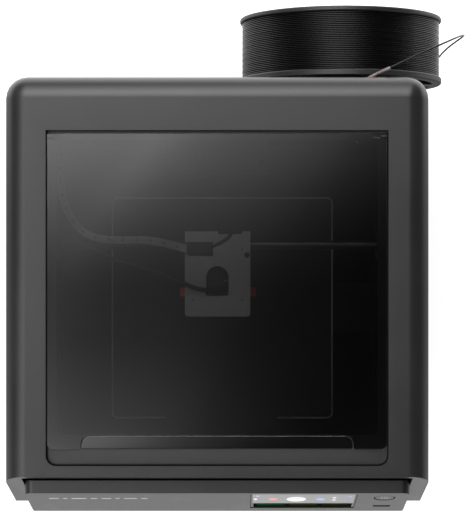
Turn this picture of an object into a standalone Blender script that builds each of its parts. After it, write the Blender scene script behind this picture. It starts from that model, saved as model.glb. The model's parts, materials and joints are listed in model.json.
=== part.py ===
"""Enclosed desktop filament printer with a tinted roof lid and a spool hung on its back.

All sizes below are millimetres in the machine's own frame: X to the right, Y to the rear, Z up, X = 0 and Y = 0 in
the middle of the cabinet and Z = 0 on the table. They become metres where a mesh is made. One empty, machine_frame,
then carries the whole machine so that the origin is under the middle of its outer box.
"""
import math

import bmesh
import bpy
from mathutils import Matrix, Vector

MM = 0.001

# Cabinet
HALF_W = 190.0
FRONT = -190.5  # face of the front frame
BACK = 200.5
TOP = 453.0
EDGE_R = 20.0  # rounding of the roof's side and rear edges and of the rear corners
WALL = 4.0
GAP = 0.3  # clearance between neighbouring pieces
FOOT_H = 8.0
BASE_TOP = 22.0
ROOF_Z = 361.0  # joint between the roof shell and the covers below it
ROOF_UNDER = 443.0
FLOOR_Z = 55.0
FLOOR_T = 2.5

# Sloped front of the roof and the control panel on it
SLOPE_TOP_Y = -156.6
PANEL_HALF_W = 173.7
PANEL_TOP = 433.0
PANEL_REAR_Y = -162.1
PANEL_EDGE_Y = -173.7
PANEL_NOSE_Y = -200.2
PANEL_WALL = 3.0
PANEL_CORNER_R = 7.5
PANEL_SIDE_GAP = 0.7
DISPLAY_X = (30.5, 126.5)
DISPLAY_T = (5.0, 63.0)  # measured down the slope from its upper edge
BUTTON_AT = (152.0, 20.0)
BUTTON_R = 9.0
BUTTON_GAP = 0.8
BUTTON_FACE = -0.2  # height of its face out of the slope
SOCKET_AT = (152.0, 54.0)

# Lid and the recess it lies in
RECESS_HALF_W = 152.3
RECESS_Y = (-147.0, 151.5)
LEDGE_Z = 448.0
HATCH_HALF_W = 143.0
HATCH_Y = (-120.0, 143.0)
LID_HALF_W = 151.0
LID_Y = (-132.0, 148.4)
LID_Z = (448.5, 452.5)
NOTCH_HALF_W = 121.5
HINGE_Y = 146.0
HINGE_Z = 449.5
PIN_R = 1.5

# Door
DOOR_X = (-171.0, 175.0)
DOOR_Y = (-200.5, -192.5)
DOOR_Z = (28.0, 355.0)
DOOR_PIVOT = (-171.0, -196.5)
WINDOW_X = (-145.0, 135.0)
WINDOW_Z = (66.0, 331.0)

# Motion system
ROD_R = 4.0
BORE_R = ROD_R + GAP
Y_ROD_X = 160.0
UPPER_ROD_Z = 385.0
LOWER_ROD_Z = 335.0
GANTRY_Y = 50.0
CARRIAGE_X = (151.5, 173.0)
CARRIAGE_Z = (326.5, 397.0)
MOTOR_AT = (155.0, 172.0)
MOTOR_HALF = 21.0
HEAD_HALF_W = 30.0
HEAD_Y = (-15.8, 62.3)
HEAD_Z = (330.0, 403.0)
NOZZLE_Y = 6.0
NOZZLE_TIP = 308.0

# Bed
PLATE_X = (-107.0, 113.0)
PLATE_Y = (-122.3, 97.7)
PLATE_TOP = 243.0
Z_ROD = (165.0, 18.0)
Z_SCREW = (165.0, -42.0)

# Rear
FAN_Z = 276.0
SPOOL_X = 121.95
SPOOL_Z = 247.0
SPOOL_R = 101.0
SPOOL_Y = (211.5, 277.8)
WINDING_R = 99.0
HOLDER_R = 24.0
SPOOL_BORE_R = 26.5
HOLDER_END = 281.0
INLET = (136.5, 423.5)
STRAND_D = 1.75
TUBE_D = 4.0
SPOUT_D = 2.8

ORIGIN_X = (SPOOL_X + SPOOL_R - HALF_W) / 2
ORIGIN_Y = (HOLDER_END + DOOR_Y[0]) / 2

# name: colour, roughness, metallic, alpha
FINISHES = {
    "shell": ((0.075, 0.075, 0.078), 0.55, 0.0, 1.0),
    "panel": ((0.085, 0.085, 0.088), 0.5, 0.0, 1.0),
    "tinted": ((0.02, 0.02, 0.022), 0.06, 0.0, 0.55),
    "clear": ((0.1, 0.1, 0.11), 0.05, 0.0, 0.35),
    "rubber": ((0.02, 0.02, 0.02), 0.8, 0.0, 1.0),
    "sheet": ((0.09, 0.09, 0.095), 0.45, 0.3, 1.0),
    "steel": ((0.6, 0.6, 0.62), 0.22, 1.0, 1.0),
    "motor": ((0.035, 0.035, 0.037), 0.45, 0.5, 1.0),
    "black": ((0.015, 0.015, 0.016), 0.4, 0.0, 1.0),
    "grey": ((0.2, 0.2, 0.205), 0.55, 0.0, 1.0),
    "red": ((0.35, 0.03, 0.035), 0.4, 0.0, 1.0),
    "alloy": ((0.55, 0.55, 0.56), 0.35, 1.0, 1.0),
    "brass": ((0.6, 0.42, 0.15), 0.3, 1.0, 1.0),
    "plate": ((0.06, 0.06, 0.062), 0.6, 0.2, 1.0),
    "board": ((0.02, 0.09, 0.04), 0.5, 0.0, 1.0),
    "screen": ((0.02, 0.02, 0.022), 0.1, 0.0, 1.0),
    "filament": ((0.012, 0.012, 0.012), 0.18, 0.0, 1.0),
    "ptfe": ((0.7, 0.7, 0.7), 0.35, 0.0, 1.0),
}


# ------------------------------------------------------------------ outlines and solids, as (points, faces)


def rounded(corners, steps=4):
    """An outline from corners (a, b, radius): each corner with a radius becomes an arc of that radius."""
    outline = []
    for i, (a, b, radius) in enumerate(corners):
        here = Vector((a, b))
        if radius <= 0:
            outline.append(here)
            continue
        before = (Vector(corners[i - 1][:2]) - here).normalized()
        after = (Vector(corners[(i + 1) % len(corners)][:2]) - here).normalized()
        half = before.angle(after) / 2
        centre = here + (before + after).normalized() * radius / math.sin(half)
        start = here + before * radius / math.tan(half) - centre
        end = here + after * radius / math.tan(half) - centre
        sweep = start.angle_signed(end)
        for k in range(steps + 1):
            turn = Matrix.Rotation(-sweep * k / steps, 2)
            outline.append(centre + turn @ start)
    return outline


def rectangle(a, b, radius=0.0, steps=4):
    """A rectangle from a = (low, high) across and b = (low, high) up, with all corners rounded."""
    corners = [(a[0], b[0]), (a[1], b[0]), (a[1], b[1]), (a[0], b[1])]
    return rounded([(x, y, radius) for x, y in corners], steps)


def prism(outline, axis, low, high):
    """The outline carried along an axis from low to high. Its own axes are the other two, in X, Y, Z order."""
    order = {"X": (2, 0, 1), "Y": (0, 2, 1), "Z": (0, 1, 2)}[axis]
    points = []
    for level in (low, high):
        for a, b in outline:
            flat = (a, b, level)
            points.append(tuple(flat[k] for k in order))
    n = len(outline)
    faces = [tuple(range(n)), tuple(range(n, 2 * n))]
    faces += [(k, (k + 1) % n, n + (k + 1) % n, n + k) for k in range(n)]
    return points, faces


def box(x, y, z):
    """A block between three (low, high) pairs."""
    return prism(rectangle(x, y), "Z", *z)


def turned(profile, origin, direction, sides=32):
    """A profile of (radius, height) turned about an axis. Profile ends on the axis close in a point; others in a bore."""
    tilt = Vector(direction).to_track_quat("Z", "Y").to_matrix()
    points, rings = [], []
    for radius, height in profile:
        count = 1 if radius == 0 else sides
        rings.append(range(len(points), len(points) + count))
        for k in range(count):
            turn = 2 * math.pi * k / sides
            local = Vector((radius * math.cos(turn), radius * math.sin(turn), height))
            points.append(tuple(Vector(origin) + tilt @ local))
    faces = []
    bored = profile[0][0] > 0
    for i in range(len(rings) if bored else len(rings) - 1):
        lower, upper = rings[i], rings[(i + 1) % len(rings)]
        for k in range(sides):
            n = (k + 1) % sides
            if len(lower) == 1:
                faces.append((lower[0], upper[n], upper[k]))
            elif len(upper) == 1:
                faces.append((lower[k], lower[n], upper[0]))
            else:
                faces.append((lower[k], lower[n], upper[n], upper[k]))
    return points, faces


def rod(radius, origin, direction, length, sides=16):
    """A plain cylinder that starts at origin."""
    return turned([(0, 0), (radius, 0), (radius, length), (0, length)], origin, direction, sides)


def placed(solid, matrix):
    """A solid moved and turned by a matrix."""
    points, faces = solid
    return [tuple(matrix @ Vector(p)) for p in points], faces


def mirrored(solid, side):
    """A solid for side +1, or its mirror image in X for side -1."""
    points, faces = solid
    return [(x * side, y, z) for x, y, z in points], faces


def together(*solids):
    """Several solids as one set of points and faces, for a cutter with several blades."""
    points, faces = [], []
    for some_points, some_faces in solids:
        start = len(points)
        points += some_points
        faces += [tuple(start + k for k in face) for face in some_faces]
    return points, faces


def rounded_block(x, y, z, radius, steps=6):
    """A block whose roof edges at both sides and at the rear, and whose two rear corners, are rounded."""
    bm = bmesh.new()
    points, faces = box(x, y, z)
    verts = [bm.verts.new(p) for p in points]
    for face in faces:
        bm.faces.new([verts[k] for k in face])
    bmesh.ops.recalc_face_normals(bm, faces=bm.faces)

    def is_round(edge):
        middle = (edge.verts[0].co + edge.verts[1].co) / 2
        at_top = abs(middle.z - z[1]) < 1e-4
        at_rear = abs(middle.y - y[1]) < 1e-4
        at_side = abs(middle.x - x[0]) < 1e-4 or abs(middle.x - x[1]) < 1e-4
        return at_top and (at_side or at_rear) or at_rear and at_side

    chosen = [edge for edge in bm.edges if is_round(edge)]
    bmesh.ops.bevel(bm, geom=chosen, offset=radius, segments=steps, profile=0.5, affect="EDGES")
    bm.verts.index_update()
    solid = [tuple(v.co) for v in bm.verts], [tuple(v.index for v in f.verts) for f in bm.faces]
    bm.free()
    return solid


# ------------------------------------------------------------------ objects


def empty(name, place=(0, 0, 0), parent=None):
    """An empty at a place in the machine's frame, in millimetres."""
    holder = bpy.data.objects.new(name, None)
    holder.location = Vector(place) * MM
    holder.parent = parent
    holder.empty_display_size = 0.02
    bpy.context.collection.objects.link(holder)
    return holder


def attach(piece, pivot):
    """Puts a piece under a pivot without moving it from its place in the machine's frame."""
    piece.parent = pivot
    if pivot is not MACHINE:
        piece.location = -pivot.location


def paint(piece, finish):
    """Gives a piece its own Principled material."""
    colour, roughness, metallic, alpha = FINISHES[finish]
    material = bpy.data.materials.new(piece.name)
    material.use_nodes = True
    shader = material.node_tree.nodes["Principled BSDF"]
    shader.inputs["Base Color"].default_value = (*colour, 1.0)
    shader.inputs["Roughness"].default_value = roughness
    shader.inputs["Metallic"].default_value = metallic
    shader.inputs["Alpha"].default_value = alpha
    piece.data.materials.append(material)


def build_mesh(name, solid):
    """A mesh from a solid in millimetres, with its faces pointing out."""
    points, faces = solid
    bm = bmesh.new()
    verts = [bm.verts.new(Vector(p) * MM) for p in points]
    for face in faces:
        bm.faces.new([verts[k] for k in face])
    bmesh.ops.recalc_face_normals(bm, faces=bm.faces)
    mesh = bpy.data.meshes.new(name)
    bm.to_mesh(mesh)
    bm.free()
    mesh.shade_smooth()
    mesh.set_sharp_from_angle(angle=math.radians(30))
    return mesh


def make(name, solid, finish, pivot=None):
    """A named sub-part from a solid."""
    piece = bpy.data.objects.new(name, build_mesh(name, solid))
    bpy.context.collection.objects.link(piece)
    attach(piece, pivot or MACHINE)
    paint(piece, finish)
    return piece


def combine(piece, solid, operation):
    """Adds a Boolean with a hidden tool object made from a solid."""
    number = len(piece.modifiers) + 1
    name = f"{piece.name}_tool_{number}"
    tool = bpy.data.objects.new(name, build_mesh(name, solid))
    bpy.context.collection.objects.link(tool)
    attach(tool, piece.parent)
    tool.hide_render = True
    tool.display_type = "WIRE"
    modifier = piece.modifiers.new(name, "BOOLEAN")
    modifier.object = tool
    modifier.operation = operation
    modifier.solver = "EXACT"


def cut(piece, *solids):
    """Cuts each solid out of a piece."""
    for solid in solids:
        combine(piece, solid, "DIFFERENCE")


def weld(piece, *solids):
    """Joins each solid to a piece."""
    for solid in solids:
        combine(piece, solid, "UNION")


def smooth_route(stops, spacing):
    """Even points along a smooth (Catmull-Rom) curve through the stops, spacing millimetres apart."""
    stops = [Vector(stop) for stop in stops]
    ends = [2 * stops[0] - stops[1], *stops, 2 * stops[-1] - stops[-2]]
    fine = []
    for a, b, c, d in zip(ends, ends[1:], ends[2:], ends[3:]):
        for k in range(24):
            t = k / 24
            fine.append(
                (2 * b + (c - a) * t + (2 * a - 5 * b + 4 * c - d) * t**2 + (3 * b - a - 3 * c + d) * t**3) / 2
            )
    fine.append(stops[-1])
    travelled = [0.0]
    for here, there in zip(fine, fine[1:]):
        travelled.append(travelled[-1] + (there - here).length)
    count = max(2, round(travelled[-1] / spacing))
    route, k = [], 0
    for step in range(count + 1):
        target = travelled[-1] * step / count
        while k < len(fine) - 2 and travelled[k + 1] < target:
            k += 1
        share = (target - travelled[k]) / (travelled[k + 1] - travelled[k])
        route.append(fine[k].lerp(fine[k + 1], min(share, 1.0)))
    return route


def tube(name, stops, diameter, finish, pivot=None, spacing=None):
    """A round cord or hose along a smooth route, as a curve with filled ends."""
    curve = bpy.data.curves.new(name, "CURVE")
    curve.dimensions = "3D"
    curve.bevel_depth = diameter / 2 * MM
    curve.bevel_resolution = 2
    curve.use_fill_caps = True
    route = smooth_route(stops, spacing or diameter * 3)
    spline = curve.splines.new("POLY")
    spline.points.add(len(route) - 1)
    for point, place in zip(spline.points, route):
        point.co = (*(place * MM), 1.0)
    piece = bpy.data.objects.new(name, curve)
    bpy.context.collection.objects.link(piece)
    attach(piece, pivot or MACHINE)
    paint(piece, finish)
    return piece


def strap(stops, width, height, spacing):
    """A flat-sided band of rectangular section along a smooth, nearly level route."""
    route = smooth_route(stops, spacing)
    points = []
    for k, here in enumerate(route):
        along = route[min(k + 1, len(route) - 1)] - route[max(k - 1, 0)]
        side = Vector((along.y, -along.x, 0)).normalized() * width / 2
        lift = Vector((0, 0, height / 2))
        points += [tuple(here + side + lift), tuple(here - side + lift), tuple(here - side - lift), tuple(here + side - lift)]
    faces = [(0, 1, 2, 3), tuple(len(points) - 4 + k for k in range(4))]
    for k in range(len(route) - 1):
        for c in range(4):
            n = (c + 1) % 4
            faces.append((4 * k + c, 4 * k + n, 4 * k + 4 + n, 4 * k + 4 + c))
    return points, faces


def sloped_frame(x, t):
    """The place on the panel's sloped face at x and t millimetres down the slope: local X across, Y up the slope, Z out."""
    run = Vector((0, PANEL_NOSE_Y - PANEL_EDGE_Y, ROOF_Z - PANEL_TOP))
    down = run.normalized()
    out = Vector((0, down.z, -down.y))
    place = Vector((x, PANEL_EDGE_Y, PANEL_TOP)) + down * t
    turn = Matrix((Vector((1, 0, 0)), -down, out)).transposed().to_4x4()
    return Matrix.Translation(place) @ turn


# ------------------------------------------------------------------ cabinet


def make_top_cover():
    """The roof shell: rounded block, sloped front, lid recess with its ledge, hatch, finger scoop and holes."""
    cover = make("top_cover", rounded_block((-HALF_W, HALF_W), (FRONT, BACK), (ROOF_Z, TOP), EDGE_R), "shell")
    beyond = FRONT - 40
    slope = [(SLOPE_TOP_Y, TOP), (FRONT, ROOF_Z)]
    rise = (slope[0][1] - slope[1][1]) / (slope[0][0] - slope[1][0])
    high, low = TOP + 10, ROOF_Z - 10
    wedge = [
        Vector((SLOPE_TOP_Y + 10 / rise, high)),
        Vector((beyond, high)),
        Vector((beyond, low)),
        Vector((FRONT - 10 / rise, low)),
    ]
    inner_r = EDGE_R - WALL
    hollow = rounded_block(
        (-HALF_W + WALL, HALF_W - WALL), (SLOPE_TOP_Y + 2.6, BACK - WALL), (ROOF_Z - 20, ROOF_UNDER), inner_r
    )
    cut(cover, prism(wedge, "X", -HALF_W - 10, HALF_W + 10), hollow)
    pocket_half = PANEL_HALF_W + PANEL_SIDE_GAP
    cut(cover, box((-pocket_half, pocket_half), (beyond, SLOPE_TOP_Y - 1.9), (low, high)))
    recess = rounded(
        [
            (-RECESS_HALF_W, RECESS_Y[0], 9),
            (RECESS_HALF_W, RECESS_Y[0], 9),
            (RECESS_HALF_W, RECESS_Y[1], 0),
            (-RECESS_HALF_W, RECESS_Y[1], 0),
        ],
        5,
    )
    hatch = rectangle((-HATCH_HALF_W, HATCH_HALF_W), HATCH_Y, 5)
    cut(cover, prism(recess, "Z", LEDGE_Z, high), prism(hatch, "Z", ROOF_UNDER - 5, LEDGE_Z + 2))
    cut(cover, box((-RECESS_HALF_W, RECESS_HALF_W), (HATCH_Y[1] - 0.5, RECESS_Y[1]), (LEDGE_Z - 3, LEDGE_Z + 1)))
    scoop = [Vector((LID_Y[0], LEDGE_Z)), Vector((LID_Y[0], high)), Vector((HATCH_Y[0] + 2, high))]
    scoop.append(Vector((HATCH_Y[0] + 2, ROOF_UNDER + 1.0)))
    cut(cover, prism(scoop, "X", -NOTCH_HALF_W + 2, NOTCH_HALF_W - 2))
    for side in (1, -1):
        cut(cover, rod(PIN_R + GAP, (side * (RECESS_HALF_W - 1), HINGE_Y, HINGE_Z), (side, 0, 0), 7.0, 16))
    cut(cover, rod(6.3, (INLET[0], BACK - 12, INLET[1]), (0, 1, 0), 20))


def make_covers():
    """The two side covers with their rod brackets, the rear cover, the front frame with door lugs, base and feet."""
    covers_z = (BASE_TOP, ROOF_Z - GAP)
    join_x = HALF_W - EDGE_R - WALL
    for name, side in (("side_cover_right", 1), ("side_cover_left", -1)):
        skin = rounded(
            [
                (HALF_W, FRONT + WALL + GAP, 0),
                (HALF_W, BACK, EDGE_R),
                (join_x, BACK, 0),
                (join_x, BACK - WALL, 0),
                (HALF_W - WALL, BACK - WALL, EDGE_R - WALL),
                (HALF_W - WALL, FRONT + WALL + GAP, 0),
            ],
            6,
        )
        cover = make(name, mirrored(prism(skin, "Z", *covers_z), side), "shell")
        bracket = rectangle((Z_ROD[0] - 9, HALF_W - WALL + 2), (Z_SCREW[1] - 12, Z_ROD[1] + 12), 2, 2)
        weld(cover, mirrored(prism(bracket, "Z", 314, 320), side))
        for x, y in (Z_ROD, Z_SCREW):
            cut(cover, mirrored(rod(BORE_R, (x, y, 310), (0, 0, 1), 14), side))
    rear_half = join_x - GAP
    rear = make(
        "rear_cover", prism(rectangle((-rear_half, rear_half), covers_z), "Y", BACK - WALL, BACK), "shell"
    )
    slots = []
    for k in range(-3, 4):
        half = math.sqrt(27.0**2 - (k * 8.0) ** 2)
        slot = rectangle((-half, half), (FAN_Z + k * 8 - 2, FAN_Z + k * 8 + 2), 1.9, 2)
        slots.append(prism(slot, "Y", BACK - WALL - 1, BACK + 1))
    cut(rear, together(*slots), box((-155.6, -104.4), (BACK - WALL - 1, BACK + 1), (51.4, 88.6)))

    frame = make("front_frame", prism(rectangle((-HALF_W, HALF_W), covers_z, 2, 2), "Y", FRONT, FRONT + WALL), "shell")
    cut(frame, prism(rectangle((-144, 144), (62, 343), 8), "Y", FRONT - 2, FRONT + WALL + 2))
    x, y = DOOR_PIVOT
    lug = rounded([(x - 4, FRONT + 2, 0), (x - 4, y - 4, 3.9), (x + 4, y - 4, 3.9), (x + 4, FRONT + 2, 0)])
    weld(frame, prism(lug, "Z", DOOR_Z[1] + 0.4, DOOR_Z[1] + 4.4), prism(lug, "Z", DOOR_Z[0] - 4.4, DOOR_Z[0] - 0.4))
    weld(frame, rod(2, (x, y, DOOR_Z[1] - 6), (0, 0, 1), 7.5, 16), rod(2, (x, y, DOOR_Z[0] - 1.5), (0, 0, 1), 7.5, 16))

    plan = rounded(
        [(-HALF_W, FRONT, 3), (HALF_W, FRONT, 3), (HALF_W, BACK, EDGE_R), (-HALF_W, BACK, EDGE_R)], 6
    )
    inset = rounded(
        [
            (-HALF_W + WALL, FRONT + WALL, 0),
            (HALF_W - WALL, FRONT + WALL, 0),
            (HALF_W - WALL, BACK - WALL, EDGE_R - WALL),
            (-HALF_W + WALL, BACK - WALL, EDGE_R - WALL),
        ],
        6,
    )
    tray = make("base_tray", prism(plan, "Z", FOOT_H, BASE_TOP - GAP), "shell")
    cut(tray, prism(inset, "Z", FOOT_H + WALL, BASE_TOP + 5))
    for name, x, y in (
        ("foot_front_left", -160, -160),
        ("foot_front_right", 160, -160),
        ("foot_rear_left", -160, 165),
        ("foot_rear_right", 160, 165),
    ):
        make(name, turned([(0, 0), (10, 0), (12, 2), (12, FOOT_H - GAP), (0, FOOT_H - GAP)], (x, y, 0), (0, 0, 1), 20), "rubber")


def make_chamber():
    """The chamber's floor and rear wall, the filter box, the exhaust fan, and the electronics under the floor."""
    inner = HALF_W - WALL - GAP
    floor = make("chamber_floor", box((-inner, inner), (FRONT + WALL + GAP, 157.7), (FLOOR_Z, FLOOR_Z + FLOOR_T)), "sheet")
    cut(floor, together(*(rod(6, (s * Z_SCREW[0], Z_SCREW[1], FLOOR_Z - 2), (0, 0, 1), 8) for s in (1, -1))))
    wall = make(
        "chamber_rear_wall", box((-132, 132), (158, 161), (FLOOR_Z + FLOOR_T + GAP, ROOF_UNDER - GAP)), "sheet"
    )
    cut(wall, rod(28, (0, 155, FAN_Z), (0, 1, 0), 10, 32))
    cut(wall, box((-134, -114), (156, 163), (388, 403)))  # lets the drag chain's end pass at full travel
    filter_box = make("filter_box", prism(rectangle((-48.5, 48.5), (117, 157.7), 3), "Z", 230, 322), "black")
    cut(filter_box, box((-46, 46), (119.5, 160), (232.5, 319.5)))

    fan = make(
        "exhaust_fan_frame",
        prism(rectangle((-30, 30), (FAN_Z - 30, FAN_Z + 30), 4), "Y", 161.3, 186.3),
        "black",
    )
    cut(fan, rod(28.5, (0, 155, FAN_Z), (0, 1, 0), 28.5, 32), together(*fan_windows(28.5, 12, 183, 190)))
    pivot = empty("exhaust_fan_axis", (0, 170, FAN_Z), MACHINE)
    make("exhaust_fan_rotor", prism(fan_outline((0, FAN_Z), 12, 27, 7), "Y", 163.5, 181.5), "black", pivot)

    make("power_supply", box((-20, 150), (30, 145), (12.3, 42.3)), "alloy")
    board = make("mainboard", box((-150, -40), (-60, 70), (22, 23.6)), "board")
    weld(board, together(*(box((x - 3, x + 3), (y - 3, y + 3), (12.3, 22.5)) for x in (-145, -45) for y in (-55, 65))))
    weld(board, together(box((-130, -90), (10, 50), (23, 36)), box((-80, -60), (-50, 40), (23, 34))))


def fan_windows(outer, inner, low, high):
    """Four quarter-ring windows that leave a hub of radius inner and four struts in a fan's rear face."""
    windows = []
    for quarter in range(4):
        start = math.radians(quarter * 90 + 6)
        sweep = math.radians(78)
        arc = [start + sweep * k / 5 for k in range(6)]
        outline = [Vector((outer * math.cos(t), FAN_Z + outer * math.sin(t))) for t in arc]
        outline += [Vector((inner * math.cos(t), FAN_Z + inner * math.sin(t))) for t in reversed(arc)]
        windows.append(prism(outline, "Y", low, high))
    return windows


def fan_outline(centre, hub, tip, blades):
    """A rotor's outline: a round hub with narrow swept blades."""
    outline = []
    for k in range(blades):
        start = 2 * math.pi * k / blades
        for radius, turn in ((hub, 0.0), (tip, 0.25), (tip, 0.55), (hub, 0.45), (hub, 0.67)):
            angle = start + turn
            outline.append(Vector((centre[0] + radius * math.cos(angle), centre[1] + radius * math.sin(angle))))
    return outline


# ------------------------------------------------------------------ front: panel, display, button, door


def make_panel():
    """The control panel moulding on the sloped front, its display, and the power button that slides into it."""
    section = [
        Vector((PANEL_REAR_Y, ROOF_Z)),
        Vector((PANEL_NOSE_Y, ROOF_Z)),
        Vector((PANEL_EDGE_Y, PANEL_TOP)),
        Vector((PANEL_REAR_Y, PANEL_TOP)),
    ]
    panel = make("control_panel", prism(section, "X", -PANEL_HALF_W, PANEL_HALF_W), "panel")
    w = PANEL_HALF_W
    top_corners = [(w, PANEL_TOP, PANEL_CORNER_R), (-w, PANEL_TOP, PANEL_CORNER_R)]
    face = rounded([(-w, ROOF_Z, 2.5), (w, ROOF_Z, 2.5), *top_corners], 6)
    combine(panel, prism(face, "Y", PANEL_NOSE_Y - 5, PANEL_REAR_Y + 5), "INTERSECT")
    lean = (PANEL_EDGE_Y - PANEL_NOSE_Y) / (PANEL_TOP - ROOF_Z)
    front_in = PANEL_WALL / math.cos(math.atan(lean))
    ceiling, below = PANEL_TOP - PANEL_WALL, ROOF_Z - 11
    inside = [
        Vector((PANEL_REAR_Y - PANEL_WALL, below)),
        Vector((PANEL_EDGE_Y - lean * (PANEL_TOP - below) + front_in, below)),
        Vector((PANEL_EDGE_Y - lean * PANEL_WALL + front_in, ceiling)),
        Vector((PANEL_REAR_Y - PANEL_WALL, ceiling)),
    ]
    cut(panel, prism(inside, "X", -w + PANEL_WALL, w - PANEL_WALL))

    width = DISPLAY_X[1] - DISPLAY_X[0]
    height = DISPLAY_T[1] - DISPLAY_T[0]
    on_face = sloped_frame(sum(DISPLAY_X) / 2, sum(DISPLAY_T) / 2)

    def slab(grow, low, high):
        across = (-width / 2 - grow, width / 2 + grow)
        along = (-height / 2 - grow, height / 2 + grow)
        return placed(prism(rectangle(across, along, 1.0, 2), "Z", low, high), on_face)

    cut(panel, slab(GAP, -5, 5))
    display = make("display", slab(0, -4, -0.5), "screen")
    weld(display, slab(2, -6.5, -3.5))

    on_button = sloped_frame(*BUTTON_AT)
    cut(panel, placed(rod(BUTTON_R + BUTTON_GAP, (0, 0, -6), (0, 0, 1), 12, 24), on_button))
    on_socket = sloped_frame(*SOCKET_AT)
    cut(panel, placed(prism(rectangle((-8, 8), (-2.7, 2.7), 1, 2), "Z", -6, 6), on_socket))
    pivot = empty("power_button_slide", tuple(on_button.translation), MACHINE)
    flange_r, flange = BUTTON_R + 1.8, (-3.6, -5.2)
    cap = [(0, BUTTON_FACE), (BUTTON_R - 0.6, BUTTON_FACE), (BUTTON_R, BUTTON_FACE - 0.4), (BUTTON_R, flange[0])]
    cap += [(flange_r, flange[0]), (flange_r, flange[1]), (0, flange[1])]
    make("power_button", placed(turned(cap, (0, 0, 0), (0, 0, 1), 24), on_button), "panel", pivot)


def make_door():
    """The front door: a frame that turns on two pins at its rounded left edge, a window in a rabbet and a grip cup."""
    pivot = empty("door_hinge", (*DOOR_PIVOT, DOOR_Z[0]), MACHINE)
    x, y = DOOR_PIVOT
    left = x - 4
    plan = rounded(
        [(left, DOOR_Y[0], 3.95), (DOOR_X[1], DOOR_Y[0], 2), (DOOR_X[1], DOOR_Y[1], 2), (left, DOOR_Y[1], 3.95)]
    )
    door = make("front_door", prism(plan, "Z", *DOOR_Z), "shell", pivot)
    rabbet = 6.0
    pane_x = (WINDOW_X[0] - rabbet, WINDOW_X[1] + rabbet)
    pane_z = (WINDOW_Z[0] - rabbet, WINDOW_Z[1] + rabbet)
    pocket = rectangle((pane_x[0] - GAP, pane_x[1] + GAP), (pane_z[0] - GAP, pane_z[1] + GAP), 8)
    cut(
        door,
        prism(rectangle(WINDOW_X, WINDOW_Z, 8), "Y", DOOR_Y[0] - 2, DOOR_Y[1] + 2),
        prism(pocket, "Y", DOOR_Y[0] + 3, DOOR_Y[1] + 2),
        box((146, 168), (DOOR_Y[0] - 2, DOOR_Y[1] + 2), (165, 235)),
        rod(2.4, (x, y, DOOR_Z[1] - 6.5), (0, 0, 1), 10, 16),
        rod(2.4, (x, y, DOOR_Z[0] - 3.5), (0, 0, 1), 10, 16),
    )
    make(
        "door_window",
        prism(rectangle(pane_x, pane_z, 7.7), "Y", DOOR_Y[0] + 3 + GAP, DOOR_Y[1] - 0.7),
        "clear",
        pivot,
    )
    grip = make("door_handle", box((146.3, 167.7), (DOOR_Y[0] + 0.2, DOOR_Y[1] - 0.5), (165.3, 234.7)), "black", pivot)
    cut(grip, prism(rectangle((148, 166), (167, 233), 2), "Y", DOOR_Y[0] - 2, DOOR_Y[1] - 2))


def make_lid():
    """The tinted lid with its two knuckles, and the pins in the roof on which it turns."""
    pivot = empty("lid_hinge", (0, HINGE_Y, HINGE_Z), MACHINE)
    w, notch = LID_HALF_W, NOTCH_HALF_W
    front, rear = LID_Y
    outline = rounded(
        [
            (-w, rear, 1),
            (-w, front, 5),
            (-notch, front, 1),
            (-notch, HATCH_Y[0], 8),
            (notch, HATCH_Y[0], 8),
            (notch, front, 1),
            (w, front, 5),
            (w, rear, 1),
        ]
    )
    lid = make("lid", prism(outline, "Z", *LID_Z), "tinted", pivot)
    for side in (1, -1):
        weld(lid, rod(2.95, (side * 139, HINGE_Y, HINGE_Z), (side, 0, 0), 12, 20))
    for name, side in (("lid_hinge_pin_right", 1), ("lid_hinge_pin_left", -1)):
        cut(lid, rod(PIN_R + GAP, (side * 145.7, HINGE_Y, HINGE_Z), (side, 0, 0), 8, 16))
        make(name, rod(PIN_R, (side * 146, HINGE_Y, HINGE_Z), (side, 0, 0), 12, 16), "steel")


# ------------------------------------------------------------------ motion


def make_xy_frame():
    """The two fixed Y rods and the two belt motors with brackets, shafts and pulleys."""
    start = SLOPE_TOP_Y + 2.9
    for name, side in (("y_rod_right", 1), ("y_rod_left", -1)):
        make(name, rod(ROD_R, (side * Y_ROD_X, start, UPPER_ROD_Z), (0, 1, 0), BACK - WALL - GAP - start), "steel")
    x, y = MOTOR_AT
    for name, side in (("xy_motor_right", 1), ("xy_motor_left", -1)):
        body = rectangle((x - MOTOR_HALF, x + MOTOR_HALF), (y - MOTOR_HALF, y + MOTOR_HALF), 4, 1)
        motor = make(name, mirrored(prism(body, "Z", 280, 320), side), "motor")
        bracket = rectangle((x - MOTOR_HALF, HALF_W - WALL - GAP), (y - MOTOR_HALF, y + 8))
        weld(motor, mirrored(prism(bracket, "Z", 319.5, 323), side))
        shaft = [(0, 322), (2.5, 322), (2.5, 336), (8, 336), (8, 338), (6.4, 338), (6.4, 351), (8, 351), (8, 353), (0, 353)]
        weld(motor, mirrored(turned(shaft, (x, y, 0), (0, 0, 1), 24), side))


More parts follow.
